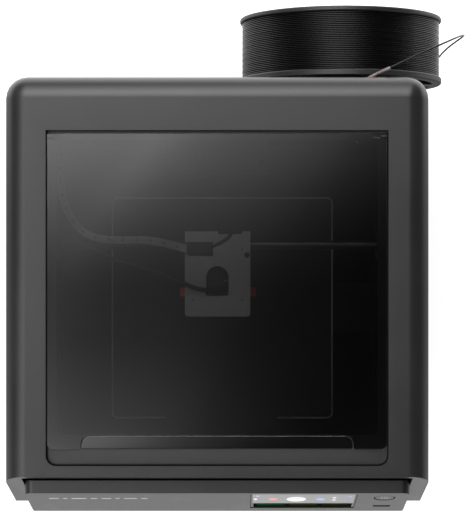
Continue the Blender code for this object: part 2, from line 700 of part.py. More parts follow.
def make_gantry():
    """The carriages on the Y rods and the two X rods between them, which slide together along Y."""
    pivot = empty("gantry_slide", (0, GANTRY_Y, UPPER_ROD_Z), MACHINE)
    blind = 155.0
    for name, side in (("y_carriage_right", 1), ("y_carriage_left", -1)):
        block = rectangle(CARRIAGE_X, (GANTRY_Y - 14, GANTRY_Y + 14), 2, 2)
        carriage = make(name, mirrored(prism(block, "Z", *CARRIAGE_Z), side), "grey", pivot)
        cut(carriage, rod(BORE_R, (side * Y_ROD_X, GANTRY_Y - 20, UPPER_ROD_Z), (0, 1, 0), 40))
        for z in (UPPER_ROD_Z, LOWER_ROD_Z):
            start = CARRIAGE_X[0] - 2
            cut(carriage, rod(BORE_R, (side * start, GANTRY_Y, z), (side, 0, 0), blind - start))
    for name, z in (("x_rod_upper", UPPER_ROD_Z), ("x_rod_lower", LOWER_ROD_Z)):
        make(name, rod(ROD_R, (-blind + GAP, GANTRY_Y, z), (1, 0, 0), 2 * (blind - GAP)), "steel", pivot)


def make_head():
    """The toolhead: carriage on the X rods, cover, extruder, hotend, cooling rotor and two sprung release levers."""
    pivot = empty("head_slide", (0, GANTRY_Y, LOWER_ROD_Z), MACHINE)
    carriage = make("head_carriage", box((-26, 26), (43.5, 59), (328, 396)), "black", pivot)
    for z in (UPPER_ROD_Z, LOWER_ROD_Z):
        cut(carriage, rod(BORE_R, (-40, GANTRY_Y, z), (1, 0, 0), 80))

    w, skin = HEAD_HALF_W, 2.3
    front, rear = HEAD_Y
    notch = rear - 2.5
    plan = rounded(
        [
            (-w, front, 3),
            (w, front, 3),
            (w, rear, 0),
            (22.4, rear, 0),
            (22.4, notch, 0),
            (0.4, notch, 0),
            (0.4, rear, 0),
            (-w, rear, 0),
        ]
    )
    cover = make("head_cover", prism(plan, "Z", *HEAD_Z), "grey", pivot)
    bottom, ceiling = HEAD_Z[0] - 5, HEAD_Z[1] - 3.5
    cut(cover, box((-w + skin, w - skin), (front + skin, rear + 5), (bottom, ceiling)))
    cut(cover, box((-w - 2, w + 2), (42, rear + 5), (bottom, ceiling - 0.2)))
    arch_half, arch_x = 10.3, -0.3
    arch = [Vector((arch_x - arch_half, 3.0)), Vector((arch_x + arch_half, 3.0))]
    turns = [math.pi * k / 10 for k in range(11)]
    arch += [Vector((arch_x + arch_half * math.cos(t), 20.2 + arch_half * math.sin(t))) for t in turns]
    cut(cover, prism(arch, "Z", ceiling - 5, HEAD_Z[1] + 2))
    cut(cover, box((-w - 2, -4.2), (39.7, 52.5), (ceiling - 1, HEAD_Z[1] + 2)))
    cut(cover, rod(16, (0, front - 2, 362), (0, 1, 0), 6, 32))
    for name, side in (("release_lever_right", 1), ("release_lever_left", -1)):
        slot = box((25, 32), (1.8, 10.6), (357.7, 372.3))
        cut(cover, mirrored(slot, side))
        lever_pivot = empty(f"{name}_slide", (side * 30, 6.2, 365), MACHINE)
        tab = box((26, 35.5), (2.1, 10.3), (358, 372))
        lever = make(name, mirrored(tab, side), "red", lever_pivot)
        weld(lever, mirrored(box((24.4, 27.4), (-0.2, 12.6), (355, 375)), side))

    motor = make("extruder_motor", rod(17, (0, 24, 372), (0, 1, 0), 18.8, 32), "motor", pivot)
    weld(motor, box((-14, 14), (6.5, 25), (352.5, 386)))
    weld(motor, rod(3.4, (6, 11, 385), (0, 0, 1), 4.5, 16))
    hotend = make("hotend", box((-10, 10), (-4, 16), (331, 352)), "alloy", pivot)
    stem = [(0, 0), (0.7, 0), (3.4, 4.6), (4, 5), (4, 9), (2.6, 9), (2.6, 30), (0, 30)]
    weld(hotend, turned(stem, (0, NOZZLE_Y, NOZZLE_TIP), (0, 0, 1), 16))
    weld(hotend, box((-9, 9), (-2, 12), (316, 327)))
    rotor_pivot = empty("part_fan_axis", (0, -9, 362), MACHINE)
    make("part_fan_rotor", prism(fan_outline((0, 362), 6, 14.5, 7), "Y", -12, -6), "black", rotor_pivot)


def make_bed():
    """The bed that rides up and down: carrier with bearings and nuts, heater plate and removable build plate."""
    pivot = empty("bed_slide", (Z_ROD[0], Z_ROD[1], PLATE_TOP), MACHINE)
    middle_x = sum(PLATE_X) / 2
    middle_y = sum(PLATE_Y) / 2
    ear_x, arm_x = 175, 152
    ear_y, arm_y = (-54, 30), (-37, 13)
    right_half = [(arm_x, arm_y[0]), (arm_x, ear_y[0]), (ear_x, ear_y[0])]
    right_half += [(ear_x, ear_y[1]), (arm_x, ear_y[1]), (arm_x, arm_y[1])]
    left_half = [(-x, y) for x, y in reversed(right_half)]
    deck = [Vector(p) for p in right_half + left_half]
    carrier = make("bed_carrier", prism(deck, "Z", 224, 230), "sheet", pivot)
    weld(carrier, *(box((x - 10, x + 10), (-110, 85), (225, 231)) for x in (middle_x - 80, middle_x + 80)))
    for side in (1, -1):
        for x, y in (Z_ROD, Z_SCREW):
            weld(carrier, rod(8.5, (side * x, y, 215), (0, 0, 1), 27))
    for side in (1, -1):
        for x, y in (Z_ROD, Z_SCREW):
            cut(carrier, rod(BORE_R, (side * x, y, 200), (0, 0, 1), 60))
    posts = [rod(5, (middle_x + sx * 80, middle_y + sy * 92, 230), (0, 0, 1), 5.2, 12) for sx in (1, -1) for sy in (1, -1)]
    weld(carrier, together(*posts))

    grow = 2.0
    heater = rectangle((PLATE_X[0] - grow, PLATE_X[1] + grow), (PLATE_Y[0] - grow, PLATE_Y[1] + grow), 6)
    make("heater_plate", prism(heater, "Z", 235.5, 241.3), "alloy", pivot)
    low_x, high_x = PLATE_X
    low_y, high_y = PLATE_Y
    tab_y = low_y - 12.3
    outline = rounded(
        [
            (low_x, low_y, 4.5),
            (-53, low_y, 0),
            (-55.7, tab_y, 2),
            (60.3, tab_y, 2),
            (57.6, low_y, 0),
            (high_x, low_y, 4.5),
            (high_x, high_y, 4.5),
            (low_x, high_y, 4.5),
        ]
    )
    make("build_plate", prism(outline, "Z", 241.6, PLATE_TOP), "plate", pivot)


def make_z_drive():
    """The two fixed Z rods, the two lead screws with pulleys under the floor, and the motor that turns them."""
    for side, word in ((1, "right"), (-1, "left")):
        x, y = side * Z_ROD[0], Z_ROD[1]
        base = FLOOR_Z + FLOOR_T + GAP
        make(f"z_rod_{word}", rod(ROD_R, (x, y, base), (0, 0, 1), 321 - base), "steel")
        x, y = side * Z_SCREW[0], Z_SCREW[1]
        pivot = empty(f"z_screw_{word}_axis", (x, y, FLOOR_Z), MACHINE)
        profile = [(0, 40), (4, 40), (4, 44), (10, 44), (10, 52), (4, 52), (4, 321), (0, 321)]
        make(f"z_screw_{word}", turned(profile, (x, y, 0), (0, 0, 1), 20), "steel", pivot)
    motor = make("z_motor", prism(rectangle((-21, 21), (-111, -69), 4, 1), "Z", 14.5, 44), "motor")
    weld(motor, turned([(0, 43), (2.5, 43), (2.5, 45), (8, 45), (8, 53), (0, 53)], (0, -90, 0), (0, 0, 1), 20))


# ------------------------------------------------------------------ rear: power, spool, filament path


def make_power_inlet():
    """The mains inlet and rocker switch module at the lower left of the back."""
    inlet = make("power_inlet", box((-155, -105), (172, 201.5), (52, 88)), "black")
    weld(inlet, prism(rectangle((-159, -101), (48, 92), 3, 3), "Y", BACK + GAP, BACK + 2.1))
    mouth = rounded([(-152, 59, 0), (-128, 59, 0), (-128, 74, 4), (-133, 79, 0), (-147, 79, 0), (-152, 74, 0)], 1)
    mouth = [Vector(p) for p in mouth]
    cut(inlet, prism(mouth, "Y", 183, 210), box((-123.3, -106.7), (192, 210), (57, 83)))
    core = [Vector((-146, 66)), Vector((-134, 66)), Vector((-134, 72)), Vector((-146, 72))]
    weld(inlet, prism(core, "Y", 182, 196))
    pivot = empty("power_switch_axis", (-115, 199.5, 70), MACHINE)
    rocker = [Vector((194, 65)), Vector((194, 75)), Vector((203, 80.5)), Vector((201.6, 70)), Vector((203, 59.5))]
    centre = Vector((199.5, 70))
    tilt = Matrix.Rotation(math.radians(6), 2)
    tilted = [centre + tilt @ (p - centre) for p in rocker]
    make("power_switch", prism(tilted, "X", -123, -107), "black", pivot)


def make_spool():
    """The holder arm on the back, the spool that turns on it, and the filament wound on the spool."""
    arm_z = SPOOL_Z + SPOOL_BORE_R - HOLDER_R - GAP
    start = BACK + GAP
    plate_r, plate_end = 36.0, BACK + GAP + 5
    lip_start = SPOOL_Y[1] + GAP
    profile = [(0, start), (plate_r, start), (plate_r, plate_end), (HOLDER_R, plate_end)]
    profile += [(HOLDER_R, lip_start + 0.5), (0, lip_start + 0.5)]
    holder = make("spool_holder", turned(profile, (SPOOL_X, 0, arm_z), (0, 1, 0), 28), "shell")
    weld(holder, rod(HOLDER_R - 1, (SPOOL_X, lip_start, arm_z + 5.5), (0, 1, 0), HOLDER_END - lip_start, 28))
    cut(holder, rod(HOLDER_R - 5, (SPOOL_X, 208, arm_z), (0, 1, 0), 80, 20))

    axis = (SPOOL_X, 0, SPOOL_Z)
    pivot = empty("spool_axis", (SPOOL_X, SPOOL_Y[0], SPOOL_Z), MACHINE)
    near, far, hub = SPOOL_Y[0], SPOOL_Y[1], 50.0
    inner_near, inner_far = 218.0, 273.0
    profile = [
        (SPOOL_BORE_R, near),
        (SPOOL_R - 1, near),
        (SPOOL_R, near + 1),
        (SPOOL_R, inner_near - 1),
        (SPOOL_R - 1, inner_near),
        (hub, inner_near),
        (hub, inner_far),
        (SPOOL_R - 1, inner_far),
        (SPOOL_R, inner_far + 1),
        (SPOOL_R, far - 1),
        (SPOOL_R - 1, far),
        (SPOOL_BORE_R, far),
    ]
    spool = make("spool", turned(profile, axis, (0, 1, 0), 48), "black", pivot)
    ring = [(SPOOL_BORE_R + 3, near + 3), (hub - 3, near + 3), (hub - 3, far + 3), (SPOOL_BORE_R + 3, far + 3)]
    cut(spool, turned(ring, axis, (0, 1, 0), 24))
    for low, high in ((near - 2, inner_near + 1), (inner_far - 1, far + 2)):
        cut(spool, together(*(sector(k, 56, 92, low, high) for k in range(6))))
    coil = [(hub + GAP, 218.3), (WINDING_R, 218.3), (WINDING_R, 272.7), (hub + GAP, 272.7)]
    make("filament_winding", turned(coil, axis, (0, 1, 0), 60), "filament", pivot)


def sector(number, inner, outer, low, high):
    """One of six windows between a spool flange's spokes."""
    arc = [math.radians(60 * number + 7 + 46 * k / 4) for k in range(5)]
    outline = [Vector((SPOOL_X + outer * math.cos(t), SPOOL_Z + outer * math.sin(t))) for t in arc]
    outline += [Vector((SPOOL_X + inner * math.cos(t), SPOOL_Z + inner * math.sin(t))) for t in reversed(arc)]
    return prism(outline, "Y", low, high)


def make_filament_path():
    """The inlet fitting with its short tube, the loose strand from the spool, and the guide tube to the head."""
    x, z = INLET
    fitting = [(0, 190), (5, 190), (5, 193.5), (6, 193.5), (6, BACK), (5.4, BACK + 0.6), (0, BACK + 0.6)]
    inlet = make("filament_inlet", turned(fitting, (x, 0, z), (0, 1, 0), 24), "ptfe")
    mouth = [(x - 1.5, 199.4, z), (x + 3, 202.0, z + 0.9), (x + 10, 205.3, z + 2.5), (x + 19.5, 209.6, z + 4.4)]
    weld(inlet, round_bar(mouth, SPOUT_D / 2, 4.0))

    tube(
        "filament_strand",
        [
            (222.3, 241.0, 240.0),
            (222.6, 242.0, 262.0),
            (225.2, 244.4, 290.0),
            (229.1, 246.6, 320.0),
            (231.6, 247.4, 347.0),
            (229.6, 246.2, 372.0),
            (220.5, 241.2, 394.0),
            (205.0, 233.2, 411.0),
            (186.0, 223.9, 422.5),
            (168.0, 215.3, 427.2),
            (x + 20.1, 209.9, z + 4.5),
        ],
        STRAND_D,
        "filament",
        spacing=4.4,
    )
    tube(
        "guide_tube_rear",
        [
            (x - 0.6, 187.5, z - 0.4),
            (126.0, 186.0, 421.0),
            (90.0, 188.0, 416.0),
            (30.0, 190.0, 412.0),
            (-40.0, 190.0, 409.0),
            (-110.0, 190.0, 408.0),
            (-150.0, 186.0, 407.0),
            (-170.0, 172.0, 406.0),
            (-178.0, 145.0, 405.0),
            (-178.5, 110.0, 404.0),
            (-173.0, 80.0, 404.0),
            (-160.0, 61.0, 404.0),
            (-144.0, 53.0, 404.0),
        ],
        TUBE_D,
        "black",
    )
    head = bpy.data.objects["gantry_slide"]
    tube(
        "guide_tube_front",
        [
            (-143.5, 52.8, 404.0),
            (-124.0, 49.7, 405.5),
            (-107.4, 43.3, 407.5),
            (-94.6, 36.9, 409.0),
            (-73.6, 31.0, 411.0),
            (-51.7, 23.7, 411.5),
            (-30.7, 14.6, 410.0),
            (-20.0, 10.2, 408.0),
            (-9.6, 8.6, 405.0),
            (0.5, 9.6, 401.5),
            (5.2, 10.8, 396.5),
            (6.0, 11.0, 391.0),
        ],
        TUBE_D,
        "black",
        head,
    )


def round_bar(stops, radius, spacing):
    """A bar of round section along a smooth, nearly level route."""
    route = smooth_route(stops, spacing)
    sides = 10
    points = []
    for k, here in enumerate(route):
        along = (route[min(k + 1, len(route) - 1)] - route[max(k - 1, 0)]).normalized()
        side = Vector((along.y, -along.x, 0)).normalized()
        up = side.cross(along)
        for c in range(sides):
            turn = 2 * math.pi * c / sides
            points.append(tuple(here + (side * math.cos(turn) + up * math.sin(turn)) * radius))
    faces = [tuple(range(sides)), tuple(len(points) - sides + k for k in range(sides))]
    for k in range(len(route) - 1):
        for c in range(sides):
            n = (c + 1) % sides
            faces.append((sides * k + c, sides * k + n, sides * (k + 1) + n, sides * (k + 1) + c))
    return points, faces


def make_drag_chain():
    """The drag chain that carries the head's leads, in a rear and a front half that meet beside the left carriage."""
    level = 395.5
    rear_half = [
        (-127.0, 193.0),
        (-131.0, 178.0),
        (-136.5, 162.0),
        (-141.5, 143.0),
        (-144.4, 123.0),
        (-144.4, 109.0),
        (-142.6, 95.5),
        (-139.0, 83.5),
        (-133.4, 72.8),
    ]
    front_half = [
        (-132.2, 71.2),
        (-124.4, 62.8),
        (-112.5, 56.9),
        (-98.7, 54.6),
        (-85.0, 54.4),
        (-66.6, 54.2),
        (-52.9, 52.5),
        (-41.8, 49.8),
        (-31.0, 46.8),
    ]
    make("drag_chain_rear", strap([(x, y, level) for x, y in rear_half], 8, 8, 8), "black")
    gantry = bpy.data.objects["gantry_slide"]
    make("drag_chain_front", strap([(x, y, level) for x, y in front_half], 8, 8, 8), "black", gantry)


for old in list(bpy.data.objects):
    bpy.data.objects.remove(old, do_unlink=True)
MACHINE = empty("machine_frame", (-ORIGIN_X, -ORIGIN_Y, 0))
make_top_cover()
make_covers()
make_chamber()
make_panel()
make_door()
make_lid()
make_xy_frame()
make_gantry()
make_head()
make_bed()
make_z_drive()
make_power_inlet()
make_spool()
make_filament_path()
make_drag_chain()
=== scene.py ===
import json
import math

import bmesh
import bpy
import numpy as np
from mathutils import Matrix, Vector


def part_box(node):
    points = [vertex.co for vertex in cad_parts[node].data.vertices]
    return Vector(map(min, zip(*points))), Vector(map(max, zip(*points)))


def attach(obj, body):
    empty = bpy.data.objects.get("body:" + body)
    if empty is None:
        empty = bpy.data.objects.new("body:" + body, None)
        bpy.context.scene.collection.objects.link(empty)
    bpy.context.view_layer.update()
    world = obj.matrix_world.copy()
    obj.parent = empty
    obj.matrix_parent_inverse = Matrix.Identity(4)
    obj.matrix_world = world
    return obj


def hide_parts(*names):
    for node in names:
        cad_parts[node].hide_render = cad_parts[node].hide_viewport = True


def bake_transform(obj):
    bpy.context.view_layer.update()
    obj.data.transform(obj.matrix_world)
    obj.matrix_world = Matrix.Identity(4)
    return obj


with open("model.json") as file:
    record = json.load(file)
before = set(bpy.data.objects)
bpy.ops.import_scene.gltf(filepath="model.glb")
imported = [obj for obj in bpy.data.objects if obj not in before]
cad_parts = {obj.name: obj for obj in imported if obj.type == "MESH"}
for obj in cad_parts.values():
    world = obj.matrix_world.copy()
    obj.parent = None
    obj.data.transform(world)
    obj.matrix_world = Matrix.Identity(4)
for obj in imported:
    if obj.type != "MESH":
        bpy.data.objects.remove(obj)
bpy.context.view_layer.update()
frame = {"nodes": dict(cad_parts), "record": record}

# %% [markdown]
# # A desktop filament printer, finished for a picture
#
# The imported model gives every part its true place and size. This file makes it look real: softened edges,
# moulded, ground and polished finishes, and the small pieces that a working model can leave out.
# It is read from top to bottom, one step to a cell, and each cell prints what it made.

for name in ("Cube", "Camera", "Light"):
    spare = bpy.data.objects.get(name)
    if spare is not None:
        bpy.data.objects.remove(spare)

# %% [markdown]
# ## Millimetres from the middle of the cabinet
#
# The working model stands with its outer box centred, so its spool pushes the cabinet off the middle. A
# maker thinks from the cabinet's own middle, in millimetres, with Y to the rear and Z up from the table.
# One function turns such places into the scene's metres. It reads the cabinet's place from the model's
# own boxes, so it stays right if the model moves. It takes whole arrays, so a mesh with thousands of
# points is one call.

# %% From machine millimetres to scene metres
cabinet_left, cabinet_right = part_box("side_cover_left")[0].x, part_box("side_cover_right")[1].x
REAR_FACE = 200.5  # outside of the rear cover, from the cabinet's middle
CABINET = np.array([(cabinet_left + cabinet_right) / 2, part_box("rear_cover")[1].y - REAR_FACE / 1000, 0.0])


def metres(points):
    """Scene place of points in machine millimetres: a thousandth of each, plus the cabinet's own place."""
    return np.asarray(points, float) / 1000 + CABINET


def millimetres(node):
    """The box of a working part as (low corner, high corner) in machine millimetres."""
    return tuple((np.array(corner) - CABINET) * 1000 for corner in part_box(node))


print("cabinet middle, metres:", CABINET.round(5))

# %% [markdown]
# ## Camera
#
# The machine is seen from straight above, from two metres up, so the view shows the roof, the sloped
# front and the spool behind. A long lens keeps the sides nearly hidden. The camera's long side is the
# picture's height.

# %% Camera over the roof
PICTURE = (470, 517)
EYE = metres((15.95, 37.4, 1993.0))
lens = bpy.data.cameras.new("eye")
lens.sensor_width = 36.0
lens.lens = 120.77
eye = bpy.data.objects.new("eye", lens)
eye.location = EYE
bpy.context.collection.objects.link(eye)
bpy.context.scene.camera = eye
print("camera at", EYE.round(4), "for a picture of", PICTURE)

# %% [markdown]
# ## Shapes as arrays
#
# Every new piece below is a surface worked out with numpy. The commonest is a loft: a stack of closed
# rings with the same number of points, where neighbouring points make the faces. A ring's points run
# round (one parameter) and the rings run along (the other), so a rod, a screw, a hose and a rounded block
# are all the same function. A shape is a pair: an array of points in machine millimetres, and a list of
# faces that index it.

# %% Lofts, joined shapes and copies
def grid(rows, columns):
    """Faces between rows of closed rings: each cell of the grid is one four-sided face."""
    row, column = np.meshgrid(np.arange(rows - 1), np.arange(columns), indexing="ij")
    following = (column + 1) % columns
    corners = [row * columns + column, row * columns + following]
    corners += [(row + 1) * columns + following, (row + 1) * columns + column]
    return np.stack(corners, -1).reshape(-1, 4).tolist()


def lofted(rings):
    """A closed solid through rings, an array of (rings, points round, 3), with a face over each end."""
    rings = np.asarray(rings, float)
    rows, columns = rings.shape[:2]
    ends = [list(range(columns))[::-1], list(range((rows - 1) * columns, rows * columns))]
    return rings.reshape(-1, 3), grid(rows, columns) + ends


def joined(shapes):
    """Several shapes as one: their points in a row, each shape's faces counted on from the one before."""
    points, faces, start = [], [], 0
    for shape_points, shape_faces in shapes:
        points.append(shape_points)
        faces += [[start + corner for corner in face] for face in shape_faces]
        start += len(shape_points)
    return np.concatenate(points), faces


def copies(shape, places, turns=None):
    """The shape once at each place. turns holds a 3 by 3 matrix for each copy: its own axes as columns."""
    points, faces = shape
    places = np.atleast_2d(np.asarray(places, float))
    turns = np.broadcast_to(np.eye(3) if turns is None else turns, (len(places), 3, 3))
    spread = np.einsum("nij,pj->npi", turns, points) + places[:, None, :]
    shifted = [[k * len(points) + corner for corner in face] for k in range(len(places)) for face in faces]
    return spread.reshape(-1, 3), shifted


def axes_along(direction):
    """A 3 by 3 matrix of axes whose third column is the direction, and the others are square to it."""
    third = np.asarray(direction, float) / np.linalg.norm(direction)
    aside = np.array([0.0, 1.0, 0.0]) if abs(third[0]) > 0.9 else np.array([1.0, 0.0, 0.0])
    second = np.cross(third, aside)
    second /= np.linalg.norm(second)
    return np.stack([np.cross(second, third), second, third], 1)


def turned(profile, place=(0, 0, 0), direction=(0, 0, 1), sides=32):
    """A turned solid: each profile point (radius, distance along) becomes a circle round the axis."""
    radius, along = np.asarray(profile, float).T
    turn = np.linspace(0, 2 * np.pi, sides, endpoint=False)
    across = radius[:, None] * np.cos(turn), radius[:, None] * np.sin(turn)
    rings = np.stack([*across, np.broadcast_to(along[:, None], across[0].shape)], -1)
    points, faces = lofted(rings)
    return points @ axes_along(direction).T + np.asarray(place, float), faces


print("shape helpers ready: grid, lofted, joined, copies, turned")

# %% Outlines and rounded blocks
def outline(corners, steps=6):
    """A closed outline from corners (a, b, radius), anticlockwise: each corner is an arc of its radius."""
    corners = np.asarray(corners, float)
    places, radii = corners[:, :2], corners[:, 2]
    back, ahead = np.roll(places, 1, 0) - places, np.roll(places, -1, 0) - places
    back /= np.linalg.norm(back, axis=1, keepdims=True)
    ahead /= np.linalg.norm(ahead, axis=1, keepdims=True)
    half = np.arccos(np.clip((back * ahead).sum(1), -1, 1)) / 2
    middle = back + ahead
    middle /= np.linalg.norm(middle, axis=1, keepdims=True)
    centres = places + middle * (radii / np.sin(half))[:, None]
    start = places + back * (radii / np.tan(half))[:, None] - centres
    sweep = (np.pi - 2 * half) * np.sign(back[:, 1] * ahead[:, 0] - back[:, 0] * ahead[:, 1])
    turn = sweep[:, None] * np.linspace(0, 1, steps)
    x = start[:, :1] * np.cos(turn) - start[:, 1:] * np.sin(turn)
    y = start[:, :1] * np.sin(turn) + start[:, 1:] * np.cos(turn)
    return (np.stack([x, y], -1) + centres[:, None, :]).reshape(-1, 2)


def rectangle(across, up, radius, steps=6):
    """A rectangle from across = (low, high) and up = (low, high) with rounded corners."""
    (left, right), (low, high) = across, up
    corners = [(left, low, radius), (right, low, radius), (right, high, radius), (left, high, radius)]
    return outline(corners, steps)


def inset(flat, distance):
    """The outline moved inwards: each point moves square to the line between its two neighbours."""
    along = np.roll(flat, -1, 0) - np.roll(flat, 1, 0)
    along /= np.maximum(np.linalg.norm(along, axis=1, keepdims=True), 1e-9)
    return flat + np.stack([-along[:, 1], along[:, 0]], 1) * distance


def slab(flat, low, high, edge=0.4, steps=3):
    """An outline raised from low to high: near each end its rings follow a quarter circle."""
    quarter = np.linspace(0, np.pi / 2, steps)
    insets = np.concatenate([edge * (1 - np.sin(quarter)), edge * (1 - np.sin(quarter[::-1]))])
    heights = np.concatenate([low + edge * (1 - np.cos(quarter)), high - edge * (1 - np.cos(quarter[::-1]))])
    levels = zip(insets, heights)
    return lofted([np.column_stack([inset(flat, i), np.full(len(flat), z)]) for i, z in levels])


def block(x, y, z, edge=0.4, corner=None):
    """A box from (low, high) along each axis with all its edges rounded."""
    return slab(rectangle(x, y, corner or edge, 3), *z, edge)


print("outline helpers ready: outline, rectangle, inset, slab, block")

# %% [markdown]
# ## Hoses, cords and bands
#
# A hose is a ring carried along a smooth route. The route is a Catmull-Rom curve, which passes through
# every stop and needs no handles, and is then measured out evenly. At each point of the route the ring
# stands square to the travel, with its upper side kept upwards, so it never twists.

# %% Smooth routes, and sections carried along them
def smooth_route(stops, spacing):
    """Even points along a Catmull-Rom curve through the stops, about spacing apart, as one array."""
    stops = np.asarray(stops, float)
    padded = np.concatenate([[2 * stops[0] - stops[1]], stops, [2 * stops[-1] - stops[-2]]])
    t = np.linspace(0, 1, 24, endpoint=False)[None, :, None]
    a, b, c, d = (padded[k : len(padded) - 3 + k][:, None, :] for k in range(4))
    fine = (2 * b + (c - a) * t + (2 * a - 5 * b + 4 * c - d) * t**2 + (3 * b - a - 3 * c + d) * t**3) / 2
    fine = np.concatenate([fine.reshape(-1, 3), stops[-1:]])
    travelled = np.concatenate([[0.0], np.cumsum(np.linalg.norm(np.diff(fine, axis=0), axis=1))])
    even = np.linspace(0, travelled[-1], max(2, round(travelled[-1] / spacing)) + 1)
    return np.stack([np.interp(even, travelled, fine[:, k]) for k in range(3)], 1)


def route_axes(route):
    """At each route point a matrix of axes: sideways, upwards and along the travel."""
    along = np.gradient(route, axis=0)
    along /= np.linalg.norm(along, axis=1, keepdims=True)
    side = np.cross(along, [0.0, 0.0, 1.0])
    side /= np.linalg.norm(side, axis=1, keepdims=True)
    return np.stack([side, np.cross(side, along), along], -1)


def carried(section, route):
    """A solid with this section (points sideways and up) carried square along a route."""
    axes = route_axes(route)
    section = np.asarray(section, float)
    return lofted(route[:, None, :] + np.einsum("nij,pj->npi", axes[:, :, :2], section))


def ring(radius, sides=14):
    """A circle of points, as a section or an outline."""
    turn = np.linspace(0, 2 * np.pi, sides, endpoint=False)
    return radius * np.stack([np.cos(turn), np.sin(turn)], 1)


print("route helpers ready: smooth_route, carried, ring")

# %% [markdown]
# ## From a shape to a piece
#
# A piece is a mesh object that rides on one moving body of the printer. Points that fall together, such
# as a turned part's poles, are merged, and the faces are turned outwards. Shading is smooth up to a
# stated angle, so a round part looks round and a box keeps its edges.

# %% Making a piece, and softening a working part
def new_mesh(name, shape):
    """A mesh from a shape in machine millimetres, with doubles merged and faces outwards."""
    points, faces = shape
    mesh = bpy.data.meshes.new(name)
    mesh.from_pydata(metres(points).tolist(), [], faces)
    work = bmesh.new()
    work.from_mesh(mesh)
    bmesh.ops.remove_doubles(work, verts=work.verts, dist=2e-6)
    bmesh.ops.dissolve_degenerate(work, edges=work.edges, dist=1e-6)
    bmesh.ops.recalc_face_normals(work, faces=work.faces)
    work.to_mesh(mesh)
    work.free()
    return mesh


def settle(name, mesh, finish, body, smooth):
    """Puts a mesh into the scene as one piece of a body, with its finish and smooth shading."""
    mesh.materials.clear()
    mesh.materials.append(finish)
    mesh.shade_smooth()
    mesh.set_sharp_from_angle(angle=math.radians(smooth))
    piece = bpy.data.objects.new(name, mesh)
    bpy.context.collection.objects.link(piece)
    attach(piece, body)
    return piece


def flattened(piece):
    """Leans the shading normals towards the larger faces, so that flats look flat beside small roundings."""
    weighted = piece.modifiers.new("flat faces stay flat", "WEIGHTED_NORMAL")
    weighted.keep_sharp = True
    return piece


def make(name, shape, finish, body, smooth=40):
    """A new piece from a shape, or from a list of shapes joined into one."""
    if isinstance(shape, list):
        shape = joined(shape)
    return flattened(settle(name, new_mesh(name, shape), finish, body, smooth))


def softened(node, finish, body, edge=0.4, smooth=38):
    """A working part with softened edges: its mesh is copied, merged and given a narrow rounded bevel."""
    mesh = frame["nodes"][node].data.copy()
    work = bmesh.new()
    work.from_mesh(mesh)
    bmesh.ops.remove_doubles(work, verts=work.verts, dist=2e-6)
    flat = math.radians(0.6)
    bmesh.ops.dissolve_limit(work, angle_limit=flat, verts=work.verts, edges=work.edges)
    work.to_mesh(mesh)
    work.free()
    if mesh.has_custom_normals:
        mesh.attributes.remove(mesh.attributes["custom_normal"])
    piece = settle(f"{node}_soft", mesh, finish, body, smooth)
    bevel = piece.modifiers.new("softened edges", "BEVEL")
    bevel.width = edge / 1000
    bevel.segments = 2
    bevel.limit_method = "ANGLE"
    bevel.angle_limit = math.radians(smooth)
    bevel.harden_normals = False
    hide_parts(node)
    return flattened(piece)


print("piece helpers ready: make, softened")

# %% [markdown]
# ## Finishes written as sums
#
# A finish is a tree of nodes, but a sum such as `0.4 + grain * 0.1` says what it does at a glance. The
# class below wraps one output of a node and turns arithmetic into Math nodes. Every other node comes from
# one method, which sets the node's own choices first and then its sockets, by number or by name.

# %% A class for one output of a node
class Wire:
    """One output of a node in a tree. Arithmetic on it adds Math nodes and gives a new Wire."""

    def __init__(self, tree, socket=None):
        self.tree, self.socket = tree, socket

    def node(self, kind, settings=None, inputs=None, output=0):
        """Adds a node: its settings, then a value or a Wire for each socket. Gives one of its outputs."""
        made = self.tree.nodes.new("ShaderNode" + kind)
        for name, value in (settings or {}).items():
            if name == "stops":
                while len(made.color_ramp.elements) < len(value):
                    made.color_ramp.elements.new(0.5)
                for element, (place, shade) in zip(made.color_ramp.elements, value):
                    element.position = place
                    element.color = (shade, shade, shade, 1.0) if isinstance(shade, float) else (*shade, 1.0)
            else:
                setattr(made, name, value)
        for key, value in (inputs or {}).items():
            if isinstance(value, Wire):
                self.tree.links.new(value.socket, made.inputs[key])
            else:
                made.inputs[key].default_value = value
        return Wire(self.tree, made.outputs[output])

    def maths(self, operation, *values):
        return self.node("Math", {"operation": operation}, dict(enumerate(values)))

    def __add__(self, other):
        return self.maths("ADD", self, other)

    def __sub__(self, other):
        return self.maths("SUBTRACT", self, other)

    def __rsub__(self, other):
        return self.maths("SUBTRACT", other, self)

    def __mul__(self, other):
        return self.maths("MULTIPLY", self, other)

    def __gt__(self, other):
        return self.maths("GREATER_THAN", self, other)

    def __lt__(self, other):
        return self.maths("LESS_THAN", self, other)

    __radd__ = __add__
    __rmul__ = __mul__

    def faded(self, low, high):
        """0 below low and 1 above high, with a smooth turn between. low may be the larger one."""
        limits = {"Value": self, 1: low, 2: high}
        return self.node("MapRange", {"interpolation_type": "SMOOTHSTEP"}, limits)

    def blended(self, first, second):
        """A colour between first and second, by this value from 0 to 1."""
        return self.node("Mix", {"data_type": "RGBA"}, {0: self, 6: first, 7: second}, 2)


def paint(colour):
    """A colour with its alpha, as a colour socket wants it."""
    return (*colour, 1.0) if len(colour) == 3 else colour


